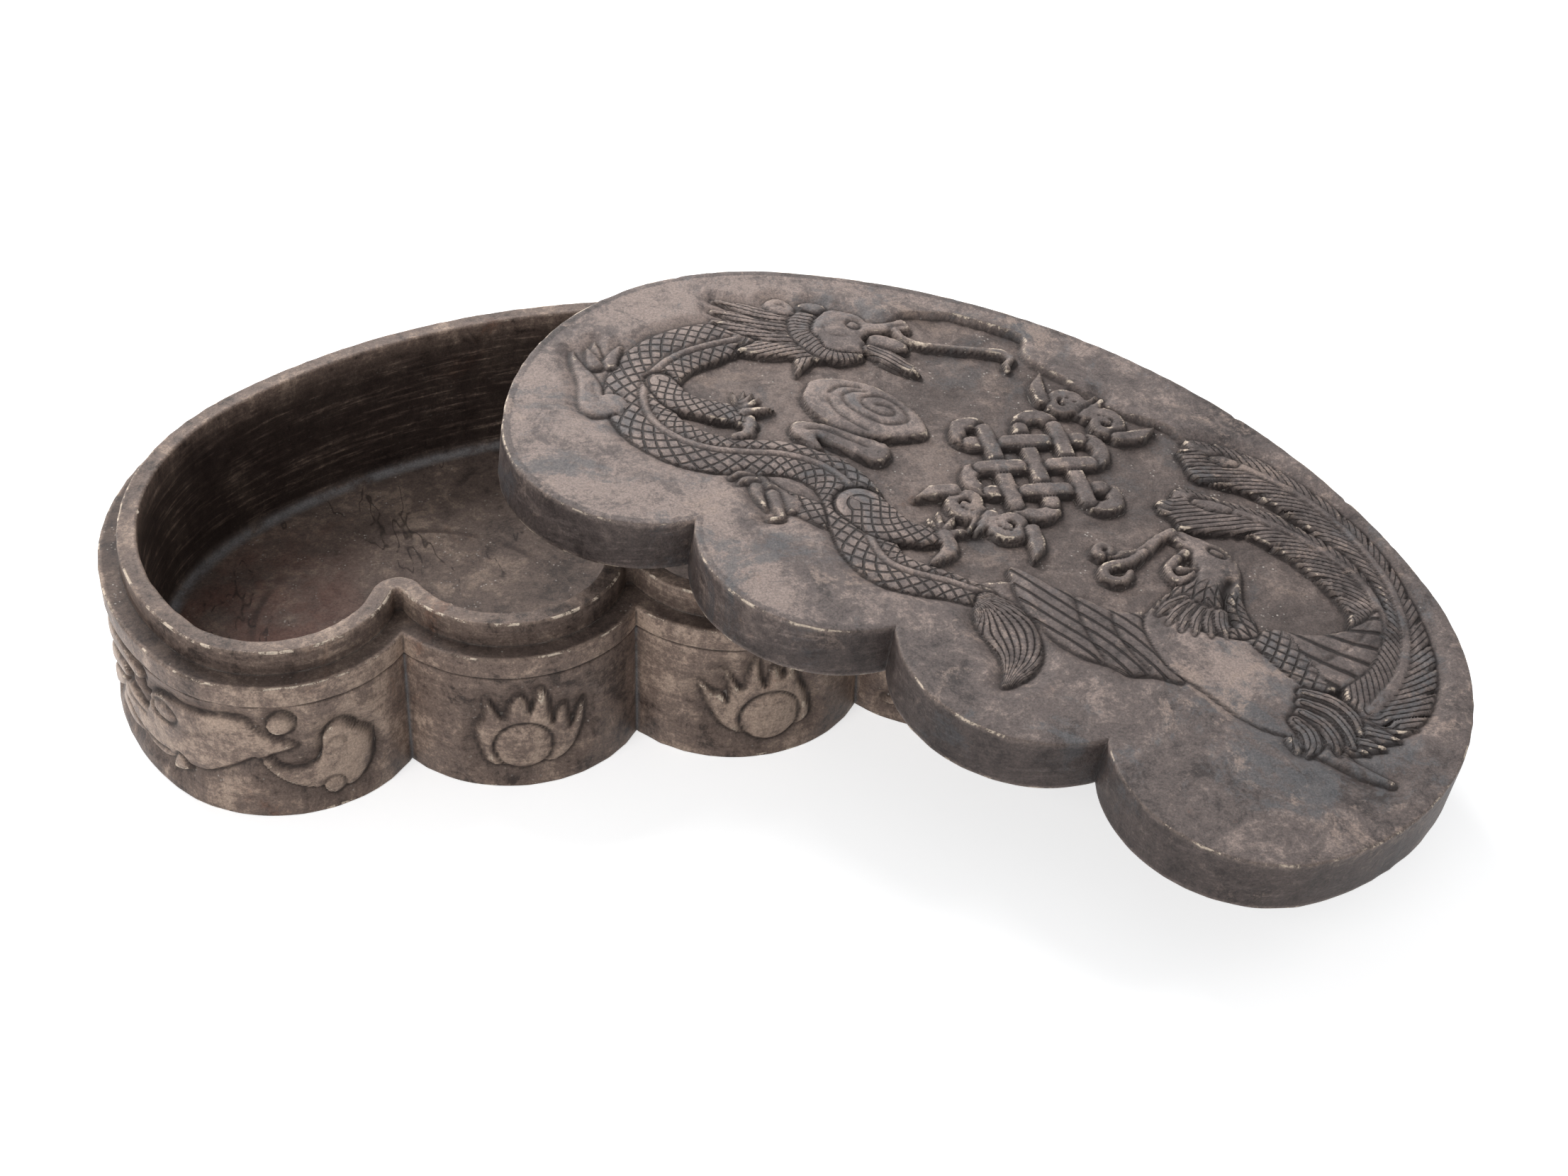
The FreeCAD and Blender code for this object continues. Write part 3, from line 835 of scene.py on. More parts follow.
# %% [markdown]
# ## The dragon
# A dragon winds along the left of the lid. It could be sculpted by hand, with brushes, but then no
# line could be moved later without doing it again. Here each part is laid on by its outline or its
# middle line, like a cut-out. The body is one ribbon, with a double line along it and scales between
# crossing cuts. Legs, mane, head and tail fin are laid on it, the nearest last.

# %% The grid of the lid, and its fine lines
LID_STEP, LID_DEPTH = 0.53, 1.9
HALF_GRID = (113.5, 68)
top = Relief((-HALF_GRID[0], -HALF_GRID[1]), HALF_GRID, LID_STEP)


def scales(window, cover, along, across, pitch=3.4):
    top.engrave(window, cover, (along + across) / pitch, (along - across) / pitch, depth=0.1)


def hairy(line, widths, pitch, depth=0.3, **look):
    """A ribbon with fine hairs along it."""
    window, cover, _, across = top.ribbon(line, widths, **look)
    top.engrave(window, cover, across / pitch + 0.5, depth=depth)


def bowed(root, tip, right, up):
    """The root, middle and tip of a short line, with its middle moved aside."""
    return [root, ((tip[0] + root[0]) / 2 + right, (tip[1] + root[1]) / 2 + up), tip]


def finger(line, width=1.0):
    """A claw: fat at the palm and sharp at the tip."""
    top.ribbon(line, (width * 1.2, width, width * 0.7, 0.15), crown=0.5, undercut=0.7)


print("grid of the lid", top.x.shape)


# %% The dragon's body
def carve_dragon_body():
    far_leg = [(-24, -29), (-33, -31.6), (-42, -32.2), (-50, -30.6)]
    scales(*top.ribbon(far_leg, (5, 3.4, 2.6, 2.2), crown=0.6, undercut=0.6), pitch=3.0)
    spine = [(-81, 9), (-84.5, 3), (-87.8, -5), (-88.7, -13), (-87, -21), (-83, -27), (-76.5, -31.2),
             (-69, -32), (-61.5, -30), (-54.5, -25.4), (-48, -20.6), (-41, -18.4), (-34, -19),
             (-28, -22.6), (-22.5, -28.6), (-17.5, -33.6), (-11.5, -36.4), (-5, -35.4), (2, -32.8),
             (10, -31)]
    widths = (6, 7.2, 7.6, 7.8, 7.8, 7.6, 7.2, 6.6, 6.0, 5.8, 6.4, 7.2, 7.2, 6.6, 5.6, 4.6, 3.4)
    body = top.ribbon(spine, widths, level=0.02, crown=0.75, undercut=0.7)
    scales(*body)
    window, cover, _, across = body
    stripe = cover * ramp(np.abs(across - 1.2), 1.6, 0.9)
    top.lines[window] *= 1 - stripe
    top.cuts[window] *= 1 - 0.8 * stripe
    for side in (0.1, 2.3):
        line = cover * ramp(np.abs(across - side), 0.6, 0.1)
        top.cuts[window] = np.maximum(top.cuts[window], 0.5 * line)


carve_dragon_body()
report(top, "body")


# %% The dragon's legs
def carve_dragon_legs():
    # The left hind foot, with two long toes that spread over the rim of the ground.
    top.ribbon([(-88, -31), (-90.5, -34.5), (-96, -28.5), (-103, -24), (-105.5, -21.5)],
               (3.6, 3, 2.6, 1.7, 0.3))
    for tip, root in (((-104, -15), (-98.5, -21.5)), ((-98.4, -11.6), (-96.6, -19.5)),
                      ((-103.8, -18.4), (-99, -22))):
        finger(bowed(root, tip, -0.5, 0.4), 1.5)
    top.groove([(-96, -27), (-91.5, -32.5)], 0.9, 0.3)
    # The foreleg reaches back under the neck.
    arm = [(-84, -17), (-77, -19.4), (-70, -17.4), (-64, -14.8), (-60.5, -15.6)]
    scales(*top.ribbon(arm, (3.4, 3.8, 3.2, 3.4, 2.2), crown=0.6, undercut=0.9), pitch=2.8)
    for tip in ((-70, -8.6), (-67.9, -6.4), (-65.9, -5.9), (-63.6, -6.2), (-58.8, -7.3)):
        finger(bowed((-63.6, -13), tip, -0.3, 0), 1.0)
    top.ribbon([(-61, -14), (-59, -18.5), (-60.6, -22)], (1.2, 1.5, 0.9))
    # The right hind leg, with its palm under the medallion.
    thigh = [(-26, -23), (-18, -24.4), (-11, -22.4), (-6.6, -19)]
    scales(*top.ribbon(thigh, (6, 5.6, 3.4, 2.4), crown=0.7, undercut=0.9), pitch=3.0)
    for tip in ((-12.6, -16.6), (-12, -12.8), (-8, -11.4), (-2.2, -14)):
        finger(bowed((-6.4, -19), tip, -0.6, 0.2), 1.1)
    top.ribbon([(-6.5, -19), (-3.4, -22.4), (-4.2, -28.6)], (1.8, 1.9, 0.8))
    # The front hind foot, below the hole in the body.
    top.ribbon([(-38, -33.4), (-45, -32.6), (-51, -31)], (2.6, 2.9, 1.6))
    for line in ([(-50, -31.4), (-52.6, -32.4), (-53, -34.8)],
                 [(-48.6, -32), (-50.6, -33.4), (-50.6, -35.2)],
                 [(-43, -33), (-39.6, -36), (-37.4, -38.4), (-39.6, -41)],
                 [(-47, -33.4), (-45, -35.6), (-41, -38.4)]):
        finger(line, 1.3)


carve_dragon_legs()
report(top, "legs")


# %% The dragon's tail fin
def carve_tail_fin():
    fin = [(8.6, -31.4), (10.4, -28.8), (15, -28.4), (20.4, -30), (25, -33.6), (28.2, -38), (29.6, -43),
           (29.2, -48), (26.6, -52.8), (25.2, -50), (23, -46.6), (18, -43.2), (13, -40), (10.8, -37)]
    window, cover = top.patch(fin, level=-0.02, crown=0.5, reach=2, undercut=0.8)
    _, near, along, side, _, _ = top.track([(8, -33), (14, -33.4), (20, -37), (24.6, -43), (26.8, -52.6)],
                                           window=window)
    width = 1.2 + 5.6 * ramp(along, 0, 14) * ramp(along, 30, 12)
    top.engrave(window, cover, side * near / width * 3.6 + 0.5, depth=0.42)


carve_tail_fin()
report(top, "tail fin")


# %% The dragon's head
def carve_dragon_head():
    # The mane streams back in four locks.
    for line, widths in (([(-60, 22), (-64, 16), (-63, 11), (-62, 7.4)], (3.6, 3.6, 2, 0.2)),
                         ([(-66, 21), (-71, 14), (-74, 9), (-77, 5.6)], (5.6, 5.4, 3.4, 0.6)),
                         ([(-70, 22), (-77, 16.4), (-83, 12.8), (-88, 10.4)], (5.4, 4.6, 2.8, 0.3)),
                         ([(-71, 24), (-78, 19.6), (-85, 16), (-90.4, 13.6)], (4.4, 3.4, 2.2, 0.3)),
                         ([(-73, 26), (-80, 21.6), (-86, 19.6), (-92.6, 17.4)], (3.2, 2.4, 1.7, 0.2))):
        hairy(line, widths, 1.25, 0.34, crown=0.7, undercut=0.8)
    # A ruff of short hairs frames the cheek.
    ruff = [(-75.5, 28), (-74, 22.8), (-70.5, 18.8), (-65.4, 16.8), (-60, 16.8), (-55.8, 19),
            (-53.4, 23.4), (-56, 26), (-64, 27), (-70, 30)]
    window, cover = top.patch(ruff, level=-0.02, crown=0.5, reach=1.6, undercut=0.7)
    _, _, along, _, _, _ = top.track([(-75, 27), (-71, 20.6), (-65, 18.6), (-59, 18.8), (-54.4, 23.6)],
                                     window=window)
    top.engrave(window, cover, along / 1.25, depth=0.26)
    top.patch([(-82.6, 25), (-81.6, 28.2), (-79, 29.2), (-75.6, 28), (-75.4, 25.2), (-78, 23.8),
               (-81, 23.6)], crown=0.3, reach=1.4, undercut=0.7)
    top.groove([(-80.6, 25.6), (-78.6, 27.2), (-76.8, 26)], 0.9, 0.35)
    top.patch([(-76, 29.6), (-74.6, 32.4), (-71, 34), (-69, 32.4), (-71.6, 29.8)], crown=0.3, reach=1.4,
              undercut=0.7)
    face = [(-69.8, 28.6), (-69.4, 33.2), (-66.4, 35.4), (-62.4, 36.6), (-60, 35.8), (-57.6, 37.2),
            (-55.4, 40.2), (-54.2, 42.6), (-51.8, 42.2), (-50.2, 40.4), (-53, 37.8), (-54.8, 35),
            (-56.8, 32), (-57.4, 29.6), (-55, 28.4), (-53, 27.6), (-54.6, 25), (-57, 22.8), (-60, 21),
            (-62.4, 20.8), (-64.6, 22.4), (-68, 23.8)]
    top.patch(face, level=-0.05, crown=0.45, reach=2.6, undercut=0.9)
    top.patch([(-56.6, 31), (-55, 33.8), (-50, 35.2), (-46.8, 34), (-47.4, 31.8), (-50, 30.2),
               (-53.4, 28.2)], crown=0.35, reach=1.6, undercut=0.8)
    top.groove([(-57.6, 31), (-55.4, 33.8), (-51, 35.2), (-48, 35)], 1.3, 1.0)
    top.patch(disc((-61.6, 32.4), 1.5, 0.8), crown=0.35, reach=1.0, undercut=0.8)
    top.groove([(-64.6, 33.4), (-61.8, 34.8), (-59, 33.8)], 0.8, 0.4)
    top.groove([(-67.4, 27), (-64.4, 25.4), (-61.4, 26.4), (-59.8, 29)], 0.8, 0.3)
    top.groove([(-53.4, 40), (-52.2, 40.8)], 0.9, 0.5, False)
    beard = [(-54, 27.4), (-49, 27.6), (-44.6, 27.4), (-39.4, 26.8)]
    hairy(beard, (1.4, 2.6, 2.2, 0.2), 1.1, undercut=0.7)
    top.ribbon([(-53, 38), (-50, 36.4), (-46, 36.9), (-42, 39.4), (-38, 42), (-33, 45.4), (-29, 47.8),
                (-26, 47.6), (-26.2, 45.2), (-24.6, 43.6)], (1.1, 0.9, 0.9, 1.0, 1.4, 0.7), crown=0.4)


carve_dragon_head()
report(top, "head")

# %% [markdown]
# ## The phoenix
# A phoenix faces the dragon. Two long tail plumes sweep up over its back. A plume could be built from
# one ribbon for each barb, but hundreds of ribbons would hide its form. So each plume is a closed shape
# with a raised shaft, and its barbs are lines that lean away from the shaft.

# %% The phoenix's tail plumes
def carve_plume(outline, shaft, lean, tip, tip_radius):
    """A plume: slanting barbs on both sides of a shaft, which ends in a small eye."""
    window, cover = top.patch(outline, level=0.02, crown=0.5, reach=2.4, undercut=0.7)
    (ax, ay), (bx, by) = shaft[-2:]
    beyond = 12 / math.hypot(bx - ax, by - ay)
    far_end = (bx + (bx - ax) * beyond, by + (by - ay) * beyond)
    _, near, along, side, _, _ = top.track(shaft + [far_end], window=window)
    slant = along - lean * near
    lobes = slant / 8.5 + 0.25 * side
    notch = 1 - ramp(np.abs(lobes - np.round(lobes)), 0.0, 0.1)
    _, rim, _, _, inside, _ = top.track(outline, window=window, closed=True)
    top.engrave(window, cover * ramp(near, 0.7, 1.4), slant / 2.3 + 0.25 * side, depth=0.3)
    top.cuts[window] += cover * notch * 1.2 * ramp(rim * inside, 3.2, 0.4) * ramp(near, 1.5, 3)
    top.ribbon(shaft, (1.5, 1.1, 1.0, 0.9, 1.0), level=-0.1, crown=0.3, undercut=0.4)
    top.ribbon([shaft[-1], tip], (1.2, tip_radius, 1.0), crown=0.35, undercut=0.7)


def carve_tail_plumes():
    # Ragged tips come out on the right of the plumes' roots.
    for tip, root, width in (((101.8, -5.6), (88, -12), 2.6), ((100.4, -11.4), (86, -14), 2.6),
                             ((98.8, -16), (86, -17), 2.4), ((96.4, -19.6), (84, -19), 2.2),
                             ((91.6, -27), (80, -20), 2.2), ((84.6, -29.6), (80, -20), 2.0),
                             ((96, -24), (83, -21), 2.0)):
        hairy(bowed(root, tip, 0, -1.6), (1.6, width, width, 0.2), 1.4, undercut=0.8)
    top.ribbon([(84, -25.6), (92, -25.8), (98, -25.6), (103.6, -24.8)], (1.6, 1.6, 1.8, 0.9))
    outer = [(78, 10), (80, 2), (84, -6), (92, -10), (99, -8), (102, -3), (101.7, 3), (100.2, 9),
             (97.4, 16), (93.4, 22), (88.4, 28.4), (83, 34), (77.4, 39.4), (70.4, 44.4), (62.4, 48.4),
             (54, 51.4), (46, 53), (38, 54), (30, 53), (25, 51.4), (20, 48.2), (22, 46), (20.4, 43.6),
             (23.4, 41.2), (27, 37.8), (31, 38), (36, 40), (44, 41.4), (56, 39), (68, 34), (76, 29),
             (80.6, 22)]
    shaft = [(92, -7), (92.6, 4), (91.4, 12), (88.4, 20), (84, 27), (78, 34), (70, 40), (62, 44.4),
             (53, 47.4), (45, 48.6), (38, 48.6), (33, 48.2)]
    carve_plume(outer, shaft, 1.45, (28.6, 46.4), 1.9)
    inner = [(79, 12), (83, 18), (81.4, 24), (76.4, 30), (70, 34.4), (62, 37), (56, 37.6), (50, 38.4),
             (42, 36.4), (33, 33.6), (28, 33), (26, 30), (27, 27), (24.8, 24), (27, 21.4), (31, 20.6),
             (33.4, 18.6), (39, 22), (46, 27), (54, 27), (62, 25.4), (70, 22), (75, 18.6)]
    shaft = [(83, 14), (82.6, 20), (79, 25.4), (74, 29.4), (68, 32), (60, 33.8), (52, 34.2), (45, 33.4),
             (39, 32)]
    carve_plume(inner, shaft, 1.45, (32.2, 29.4), 1.8)


carve_tail_plumes()
report(top, "plumes")


# %% The phoenix's wings
def carve_phoenix_wings():
    # The left wing: long feathers, each with near-level barbs, under a row of short ones.
    wing = [(9.6, -18.4), (20, -17.6), (33, -16), (37, -14), (41, -11), (46, -16), (54, -22), (56, -26),
            (50, -28.4), (46, -31.4), (41, -31.8), (36, -33.2), (30, -33), (23, -30.6), (17, -27.2),
            (13, -23.2)]
    window, cover = top.patch(wing, level=0.02, crown=0.5, reach=2.6, undercut=0.8)
    _, near, along, side, _, _ = top.track([(9, -18), (24, -20), (40, -22), (56, -27)], window=window)
    top.engrave(window, cover, side * near / 2.9 + 0.5, depth=0.3)
    for line in ([(24.6, -17), (29.6, -23.2), (35.6, -28.4), (41, -31.8)],
                 [(33.5, -16.4), (37.4, -21.4), (43.6, -25.6), (50, -28.4)]):
        top.groove(line, 1.2, 0.6)
    # The right wing: a crescent of feathers that sweeps up behind the neck.
    wing = [(60, -13), (61, -2), (66, 3.4), (71, 5.6), (76, 11), (79.2, 17.2), (80.4, 23), (83.4, 18.6),
            (85.4, 12), (86, 5), (84.6, -2), (82, -8), (76, -13), (68, -15)]
    window, cover = top.patch(wing, level=0.02, crown=0.5, reach=2.4, undercut=0.7)
    _, near, along, side, _, _ = top.track([(66, -14), (73, -6), (78.4, 3), (81.4, 12), (81, 24)],
                                           window=window)
    far = ramp(along, 12, 15)
    top.engrave(window, cover * far, (along * 0.55 + side * near * 0.35) / 3.1, depth=0.34)
    top.engrave(window, cover * (1 - far), (along + side * near) / 3.6, (along - side * near) / 3.6,
                depth=0.28)
    top.groove([(80, 21), (81, 13), (79.4, 5), (76, -3), (70, -11)], 1.0, 0.4)


carve_phoenix_wings()
report(top, "wings")


# %% The phoenix's body and neck
def carve_phoenix_body():
    body = [(40.4, -8), (40.6, -14), (43.4, -18.2), (47.4, -21.4), (52.4, -24.4), (60, -25.2),
            (66, -26.6), (72, -27.6), (79, -26.4), (84, -23), (85, -17), (80, -11), (72, -9), (62, -5.4),
            (55, -2.4), (46, -2.6)]
    top.patch(body, level=0.0, crown=0.7, reach=6, undercut=0.8)
    for line in ([(44, -12), (42.8, -16.4)], [(49, -13), (47.4, -17.6)], [(56, -16), (60, -19.4)]):
        top.groove(line, 0.8, 0.12)
    # Ruffled plumes cover the root of the tail.
    for line in ([(78, -12), (84, -10.6), (89, -12), (93, -15.6)],
                 [(79, -15), (85, -14.4), (90, -17), (93.4, -20.4)],
                 [(80, -18), (85, -18.4), (89, -21), (91.4, -24.4)],
                 [(80, -21), (83.6, -22.4), (86, -25.4), (86.4, -28.6)]):
        hairy(line, (1.6, 2.4, 2.2, 0.3), 1.3, undercut=0.8)
    # The neck bends up from the chest and carries pointed feathers.
    neck = [(40.4, -8), (41, -1), (41.6, 6), (40.6, 10.6), (38, 12.8), (35, 14), (31.4, 14.9),
            (30.6, 17.2), (35, 18.2), (40, 18.8), (44, 19.2), (47.4, 17.6), (50.4, 15.2), (53, 10),
            (56, 5), (61, 1), (62, -3), (55, -8), (47, -9)]
    window, cover = top.patch(neck, level=-0.03, crown=0.6, reach=4, undercut=0.9)
    _, near, along, side, _, _ = top.track([(47, 12), (47.6, 4), (51, -3), (58, -9)], window=window)
    feathers = cover * ramp(along, 4, 9)
    top.groove([(50.2, 11), (50.8, 6), (53.4, 1), (58, -3.4)], 2.6, 1.3)
    top.engrave(window, feathers, (along - 1.5 * near) / 3.6, side * near / 2.4 + 0.25, depth=0.3)
    for tip in ((42.4, -11), (45.4, -12.4), (48.6, -12.4), (51.6, -11.4), (54.8, -9.6), (57.6, -7.4)):
        root = (tip[0] * 0.55 + 21.6, tip[1] * 0.3 + 1)
        hairy(bowed(root, tip, -0.6, 0), (1.7, 1.7, 0.2), 1.1, 0.2, undercut=0.6)
    top.patch(disc((43.8, 16.5), 1.9, 0.42), crown=0.25, reach=0.8, undercut=0.9)
    top.groove([(44.6, 18), (47, 17), (48.6, 14.6)], 0.8, 0.35)
    top.groove([(31.4, 15.9), (34.4, 16.1), (37.2, 15.2)], 0.8, 0.6)
    for line in ([(38, 12), (37, 8), (38.5, 6.4), (40.5, 6.4), (42, 8.6)],
                 [(37.4, 9), (37, 5.4), (38.2, 3.4), (40.4, 2.4), (42, 4.4), (42.4, 7.2)]):
        top.ribbon(line, (1.2, 1.1, 1.2, 0.5), crown=0.5, undercut=0.8)


carve_phoenix_body()
report(top, "body and neck")


# %% The ribbons from the beak
def carve_phoenix_ribbons():
    """Two curling ribbons hang from the beak."""
    top.ribbon([(32.4, 16.4), (31, 12), (30.2, 6), (28, 2.2), (24.6, 0.2), (22, -1.6)],
               (1.2, 1.3, 1.6, 1.5, 1.4))
    top.ribbon(spiral((23.6, 0.6), 2.4, 1.2, -0.25, -0.7, 8), (1.2, 1.2, 0.9), undercut=0.8)
    top.ribbon([(30.6, 6), (29.6, 1), (27, -2.8), (26.2, -5.4), (27.6, -7.2), (30, -7), (31.6, -5),
                (31.4, -2.4)], (1.0, 1.3, 1.4, 1.4, 1.0), undercut=0.8)


carve_phoenix_ribbons()
report(top, "ribbons")

# %% [markdown]
# ## Cloud and medallion
# Between the two beasts float a curled cloud and a medallion. The medallion is a plain traditional
# endless knot of six strands, with a pair of curled cloud heads above and below it. Weaving could be
# worked out strand by strand. It is simpler to lay all strands one way, then all the other way, and
# last to lay short pieces of the first ones again at every second crossing.

# %% The cloud
def carve_cloud():
    blob = [(-57.6, 4), (-58.2, 6.8), (-56.6, 9.6), (-53, 12.6), (-48, 15), (-43, 15.8), (-38, 15.3),
            (-33, 13.8), (-29.6, 11.8), (-27.2, 9), (-28.8, 6.2), (-31, 3.6), (-34.4, 0.6), (-38, -1.6),
            (-43, -2.8), (-48, -3.2), (-53, -1.8), (-56.6, 1)]
    tail = [(-43, -2), (-36, -1.4), (-32, -1), (-30, -3), (-29.8, -6), (-31.4, -8.2), (-36, -8.8),
            (-40, -9.2), (-46, -9.2), (-42.4, -12.2), (-46, -12.6), (-51, -12), (-53.2, -9.6), (-52, -7),
            (-48, -4.6)]
    top.patch(tail, crown=0.4, reach=2, undercut=0.8)
    top.groove([(-50, -9.4), (-46.4, -6.4), (-40, -5.4), (-34, -4.6)], 1.1, 0.5)
    top.patch(blob, level=-0.04, crown=0.4, reach=2.2, undercut=0.9)
    for line in ([(-42.6, 9.2), (-39, 11), (-36.4, 9.6), (-38.8, 7.4), (-43.4, 7.4), (-45.4, 9.8),
                  (-42, 13), (-37, 12.8), (-33, 10), (-34.6, 6.4), (-38, 4.6), (-45, 4.6), (-49, 6.8),
                  (-48.6, 10), (-45, 13)],
                 [(-52.6, 5), (-51.4, 10), (-46.4, 13.4)],
                 [(-52, 5), (-50, 3), (-45, 0.8), (-37, 0.4)]):
        top.groove(line, 1.15, 0.5)


carve_cloud()
report(top, "cloud")

# %% The endless knot
KNOT_CENTRE = (-2.6, 16.4)
STRAND, GAP = 2.05, 8.6  # half a strand's width, and from strand to strand


def turned(points):
    """From the knot's own slanted axes to the lid."""
    half = math.sqrt(0.5)
    return [(KNOT_CENTRE[0] + (u - v) * half, KNOT_CENTRE[1] + (u + v) * half) for u, v in points]


def strand(points, undercut=0.9):
    top.ribbon(turned(points), (STRAND, STRAND), level=0.0, crown=0.3, undercut=undercut)


def carve_knot():
    reach = GAP + GAP / 2
    for side in (-1, 1):
        for start in (-GAP, 0):
            low = side * reach
            loop = [(low, start), (low + side * 3.0, start + GAP * 0.12),
                    (low + side * GAP / 2, start + GAP / 2), (low + side * 3.0, start + GAP * 0.88),
                    (low, start + GAP)]
            if (start == 0) == (side > 0):
                strand(loop)
                strand([(v, u) for u, v in loop])
    corner = [(reach, -GAP), (reach + 2.4, -GAP - 1.9), (reach + 1.7, -reach - 1.7),
              (GAP + 1.9, -reach - 2.4), (GAP, -reach)]
    strand(corner)
    strand([(v, u) for u, v in corner])
    for line in (-GAP, 0, GAP):
        strand([(-reach, line), (reach, line)])
    for line in (-GAP, 0, GAP):
        strand([(line, -reach), (line, reach)])
    for row in range(3):
        for column in range(3):
            if (row + column) % 2:
                u, v = (column - 1) * GAP, (row - 1) * GAP
                strand([(u - GAP / 2, v), (u + GAP / 2, v)])


carve_knot()
report(top, "knot")


# %% The cloud heads, and the panel round all figures
def carve_cloud_heads():
    curled = [(0.8, 7.6), (0.9, 4), (0.8, 0), *spiral((5.4, 0), 4.6, 1.2, 0.5, -1.3, 12)]
    leaf = [(10.4, -2), (13.4, 1.6), (15.4, 6.6)]
    for level, up in ((40.5, 1), (-6.2, -1)):
        for way in (-1, 1):
            for line, widths in ((curled, (0.5, 1.7, 1.9, 1.8, 1.7, 1.2)), (leaf, (1.8, 2.0, 0.3))):
                placed = [(KNOT_CENTRE[0] + way * x, level + up * y) for x, y in line]
                top.ribbon(placed, widths, level=-0.05, crown=0.35, undercut=0.8)


carve_cloud_heads()
report(top, "cloud heads")
PANEL = [(-57, 39), (-56, 44), (-53, 47), (-50, 49.5), (-47, 52), (-43, 53.6), (-38, 55), (-30, 57),
         (-27, 56), (-25, 52), (-21, 50), (-14, 49.6), (-6, 48.2), (2, 47.6), (8, 48.4), (14, 50.2),
         (22, 48.6), (32, 48), (45, 49), (62, 45), (78, 36), (88, 24), (94, 12), (95, 0), (90, -12),
         (84, -20), (72, -22), (60, -20), (48, -18), (40, -24), (28, -24), (16, -21), (9, -26), (2, -33),
         (-5, -36), (-12, -37), (-18, -34), (-23, -29), (-28, -23), (-34, -19.5), (-41, -18.8),
         (-48, -21), (-55, -26.5), (-62, -30.5), (-70, -32), (-78, -30.5), (-84, -26), (-88, -20),
         (-89, -13), (-88, -5), (-85, 2), (-81, 7), (-76, 15), (-70, 26), (-64, 33), (-59, 35)]
LID_HEIGHTS = top.finished(LID_DEPTH, fade=4.5, moat=0.5, panels=[PANEL], seed=31)
print("lid carved,", LID_HEIGHTS.shape, "deepest", round(float(LID_HEIGHTS.min()), 2), "mm")

# %% [markdown]
# ## The lid
# The lid is a thick slab, carved on top and hollowed underneath so that it fits over the box's lip. Its
# sides are swept rings like the box's. Rings on the top would be too coarse in the middle for fine
# carving, and too fine at the cusps. So the carved top is the relief's own grid: every grid cell that
# lies inside the last ring becomes one face, and a triangulation knits the grid's ragged border to
# the ring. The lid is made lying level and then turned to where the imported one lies.

# %% Where the lid lies
LID_THICKNESS, RECESS = 13.2, 7.1
LID_SET_BACK, LIP_CLEARANCE = 1.2, 0.5
ASKEW, ASKEW_TURN = (85.0, -49.3), -44.3
FLAT = 0.9  # the least rise of a face's normal that counts as facing up


def lid_pose():
    """The lid's place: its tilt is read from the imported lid's flat top."""
    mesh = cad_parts["box_lid"].data
    flats = {}
    for face in mesh.polygons:
        if face.normal.z > FLAT:
            key = tuple(round(c, 3) for c in face.normal)
            flats[key] = flats.get(key, 0.0) + face.area
    normal = Vector(max(flats, key=flats.get)).normalized()
    on_top = max(normal.dot(corner.co) for corner in mesh.vertices) / MM
    tilt = Vector((0, 0, 1)).rotation_difference(normal).to_matrix().to_4x4()
    height = (on_top - LID_THICKNESS - normal.x * ASKEW[0] - normal.y * ASKEW[1]) / normal.z
    turn = Matrix.Rotation(math.radians(ASKEW_TURN), 4, "Z")
    return Matrix.Translation((*ASKEW, height)) @ tilt @ turn


def posed(points, pose):
    turn, shift = np.array(pose.to_3x3()), np.array(pose.translation)
    return points @ turn.T + shift


pose = lid_pose()
tilt = pose.to_3x3().col[2].angle(Vector((0, 0, 1)))
print("lid tilted by", round(math.degrees(tilt), 2), "degrees")


# %% The carved top
def cells_inside(outline, margin):
    """Which cells of the relief's grid lie wholly inside a ring."""
    right, left = outline[:, 0].argmax(), outline[:, 0].argmin()
    upper = outline[right:left + 1][::-1]
    lower = np.vstack((outline[left:], outline[:right + 1]))
    x, y = top.x[0], top.y[:, :1]
    high = np.interp(x, upper[:, 0], upper[:, 1], left=-FAR, right=-FAR)
    low = np.interp(x, lower[:, 0], lower[:, 1], left=FAR, right=FAR)
    good = (y < high - margin) & (y > low + margin)
    good &= (x > outline[left, 0] + margin) & (x < outline[right, 0] - margin)
    return good[:-1, :-1] & good[1:, :-1] & good[:-1, 1:] & good[1:, 1:]


def inside_ring(outline, spot):
    """Whether a ray to the right of a spot crosses the ring an odd number of times."""
    after = np.roll(outline, -1, axis=0)
    crossing = (outline[:, 1] > spot[1]) != (after[:, 1] > spot[1])
    here, step = outline[crossing], (after - outline)[crossing]
    reached = here[:, 0] + (spot[1] - here[:, 1]) / step[:, 1] * step[:, 0]
    return np.sum(spot[0] < reached) % 2 == 1


